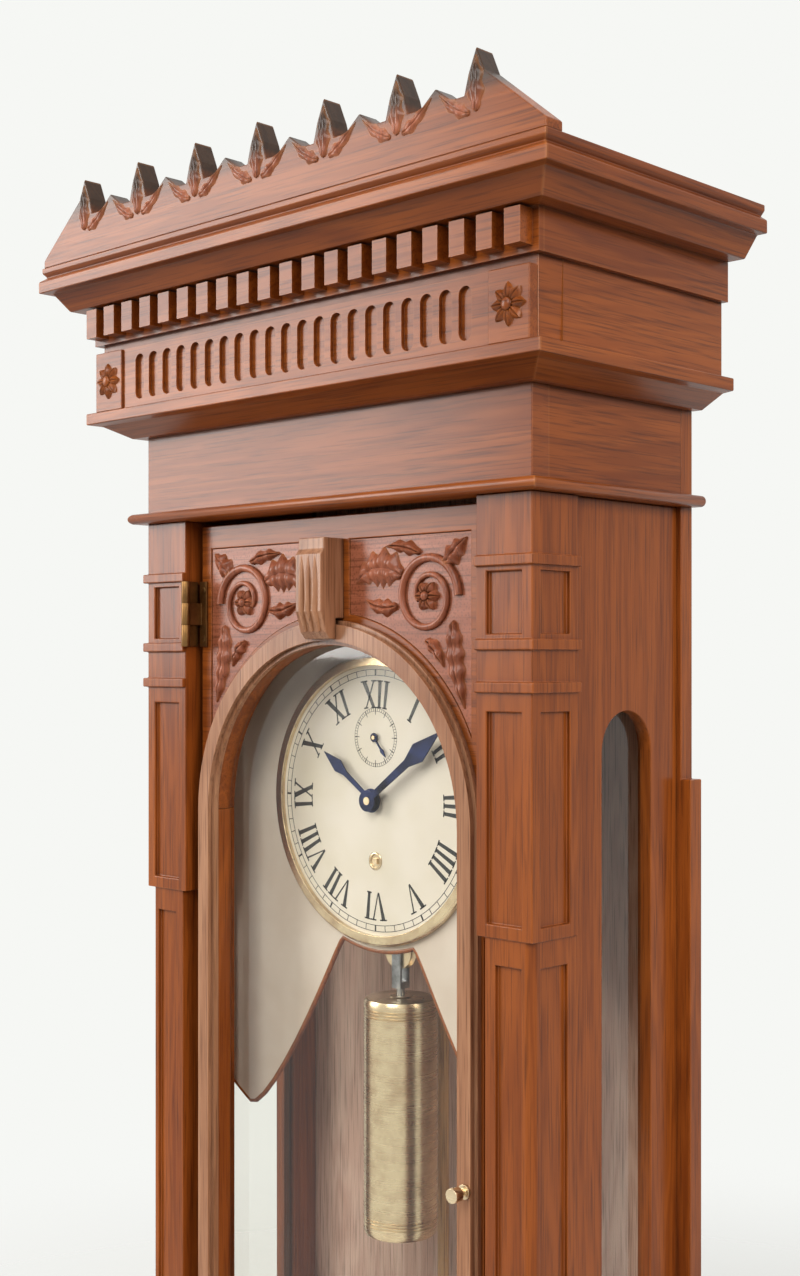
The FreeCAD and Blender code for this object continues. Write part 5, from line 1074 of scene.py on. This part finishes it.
class CLOCK_OT_stage(ClockOperator, bpy.types.Operator):
    """Sets the camera, the soft light, the pale surroundings and the floor"""
    bl_idname = "clock.stage"
    bl_label = "Stage"

    def execute(self, context):
        scene = context.scene
        scene.view_settings.view_transform = "Standard"
        self.camera(scene)
        self.lamps(scene)
        self.surroundings(scene)
        self.floor(scene)
        return {"FINISHED"}

    def camera(self, scene):
        """A level camera, turned 44 degrees from the front, 1.1 m from the near corner of the case."""
        data = bpy.data.cameras.new("view")
        data.lens = 47.1
        data.sensor_width = 36
        data.shift_y = 0.0172
        data.clip_start = 0.01
        view = bpy.data.objects.new("view", data)
        view.location = (0.881, -1.007, -0.225)
        view.rotation_euler = (math.radians(90), 0, math.radians(44))
        scene.collection.objects.link(view)
        scene.camera = view

    def lamps(self, scene):
        """A large soft lamp in front on the left, and weaker ones on the right, in front and above."""
        target = Vector((0, -0.1, -0.35))
        for name, place, (wide, tall), power, tint in (
                ("key", (-2.35, -2.1, 0.55), (1.3, 1.6), 66, (1, 0.97, 0.94)),
                ("fill", (2.6, -0.5, 0.8), (1.4, 1.4), 46, (1, 0.92, 0.84)),
                ("front", (0.6, -2.4, 1.1), (1.4, 1.4), 40, (1, 0.98, 0.96)),
                ("top", (-0.3, -0.9, 2.2), (1.4, 1.4), 14, (1, 1, 1))):
            data = bpy.data.lights.new(name, "AREA")
            data.shape = "RECTANGLE"
            data.size = wide
            data.size_y = tall
            data.energy = power
            data.color = tint
            lamp = bpy.data.objects.new(name, data)
            lamp.location = place
            lamp.rotation_euler = (target - Vector(place)).to_track_quat("-Z", "Y").to_euler()
            scene.collection.objects.link(lamp)

    def surroundings(self, scene):
        """Pale all round as seen and mirrored, and dimmer as a light, so that the wood keeps its depth."""
        world = bpy.data.worlds.new("pale_surroundings")
        world.use_nodes = True
        tree = world.node_tree
        tree.nodes.clear()
        ray = add(tree, "LightPath")
        seen = add(tree, "Math", {0: ray["Is Camera Ray"], 1: ray["Is Glossy Ray"]}, operation="MAXIMUM")[0]
        seen = add(tree, "Math", {0: seen, 1: ray["Is Transmission Ray"]}, operation="MAXIMUM")[0]
        towards = add(tree, "TexCoord")["Generated"]
        upward = add(tree, "SeparateXYZ", {0: towards})["Z"]
        level = add(tree, "MapRange", {0: upward, 1: -0.3, 2: 0.3, 3: 0.06, 4: 0.4})[0]
        dim = add(tree, "Background", {"Color": colours().backdrop, "Strength": level})[0]
        pale = add(tree, "Background", {"Color": colours().backdrop, "Strength": 1.0})[0]
        both = add(tree, "MixShader", {0: seen, 1: dim, 2: pale})[0]
        add(tree, "OutputWorld", {"Surface": both})
        scene.world = world

    def floor(self, scene):
        """A matte paper disc under the drops: it takes a soft shadow and fades into the surroundings."""
        mesh = bmesh.new()
        bmesh.ops.create_circle(mesh, cap_ends=True, segments=96, radius=4)
        data = bpy.data.meshes.new("floor")
        mesh.to_mesh(data)
        mesh.free()
        disc = bpy.data.objects.new("floor", data)
        disc.location = (0, 0, CAD_BOX[0].z - 0.5 * MM)
        scene.collection.objects.link(disc)
        material, tree, surface, place = blank("matte_paper_floor")
        far = add(tree, "VectorMath", {0: place}, operation="LENGTH")["Value"]
        fade = add(tree, "MapRange", {0: far, 1: 0.45, 2: 1.6, 3: 0, 4: 1},
                   interpolation_type="SMOOTHSTEP")[0]
        # Seen from below, the floor doesn't hide the clock
        below = add(tree, "NewGeometry")["Backfacing"]
        fade = add(tree, "Math", {0: fade, 1: below}, operation="MAXIMUM")[0]
        grain = add(tree, "TexNoise", {"Vector": place, "Scale": 1 / (4 * MM), "Detail": 2})["Fac"]
        bump = add(tree, "Bump", {"Strength": 0.05, "Distance": 0.2 * MM, "Height": grain})[0]
        feed(surface, {"Base Color": colours().floor, "Roughness": 0.9, "Normal": bump})
        clear = add(tree, "BsdfTransparent")[0]
        both = add(tree, "MixShader", {0: fade, 1: surface.outputs[0], 2: clear})[0]
        feed(tree.nodes["Material Output"], {"Surface": both})
        data.materials.append(material)


STEPS = (CLOCK_OT_woodwork, CLOCK_OT_spandrels, CLOCK_OT_keystone_reeds, CLOCK_OT_crest_leaves,
         CLOCK_OT_frieze_rosettes, CLOCK_OT_glazing, CLOCK_OT_dial, CLOCK_OT_dial_mask,
         CLOCK_OT_movement, CLOCK_OT_screws, CLOCK_OT_weight, CLOCK_OT_pendulum, CLOCK_OT_stage)


class CLOCK_PT_panel(bpy.types.Panel):
    """Steps, sizes and colours of the clock"""
    bl_idname = "CLOCK_PT_panel"
    bl_label = "Wall Regulator Clock"
    bl_space_type = "VIEW_3D"
    bl_region_type = "UI"
    bl_category = "Clock"

    def draw(self, context):
        for step in STEPS:
            self.layout.operator(step.bl_idname)
        for group in (context.scene.clock_sizes, context.scene.clock_colours):
            for name in group.__annotations__:
                self.layout.prop(group, name)


CLASSES = (ClockColours, ClockSizes) + STEPS + (CLOCK_PT_panel,)


def register():
    for item in CLASSES:
        bpy.utils.register_class(item)
    bpy.types.Scene.clock_colours = PointerProperty(type=ClockColours)
    bpy.types.Scene.clock_sizes = PointerProperty(type=ClockSizes)


def unregister():
    del bpy.types.Scene.clock_sizes
    del bpy.types.Scene.clock_colours
    for item in reversed(CLASSES):
        bpy.utils.unregister_class(item)


def main():
    register()
    bpy.ops.clock.woodwork()
    bpy.ops.clock.spandrels()
    bpy.ops.clock.keystone_reeds()
    bpy.ops.clock.crest_leaves()
    bpy.ops.clock.frieze_rosettes()
    bpy.ops.clock.glazing()
    bpy.ops.clock.dial()
    bpy.ops.clock.dial_mask()
    bpy.ops.clock.movement()
    bpy.ops.clock.screws()
    bpy.ops.clock.weight()
    bpy.ops.clock.pendulum()
    bpy.ops.clock.stage()


if __name__ == "__main__":
    main()
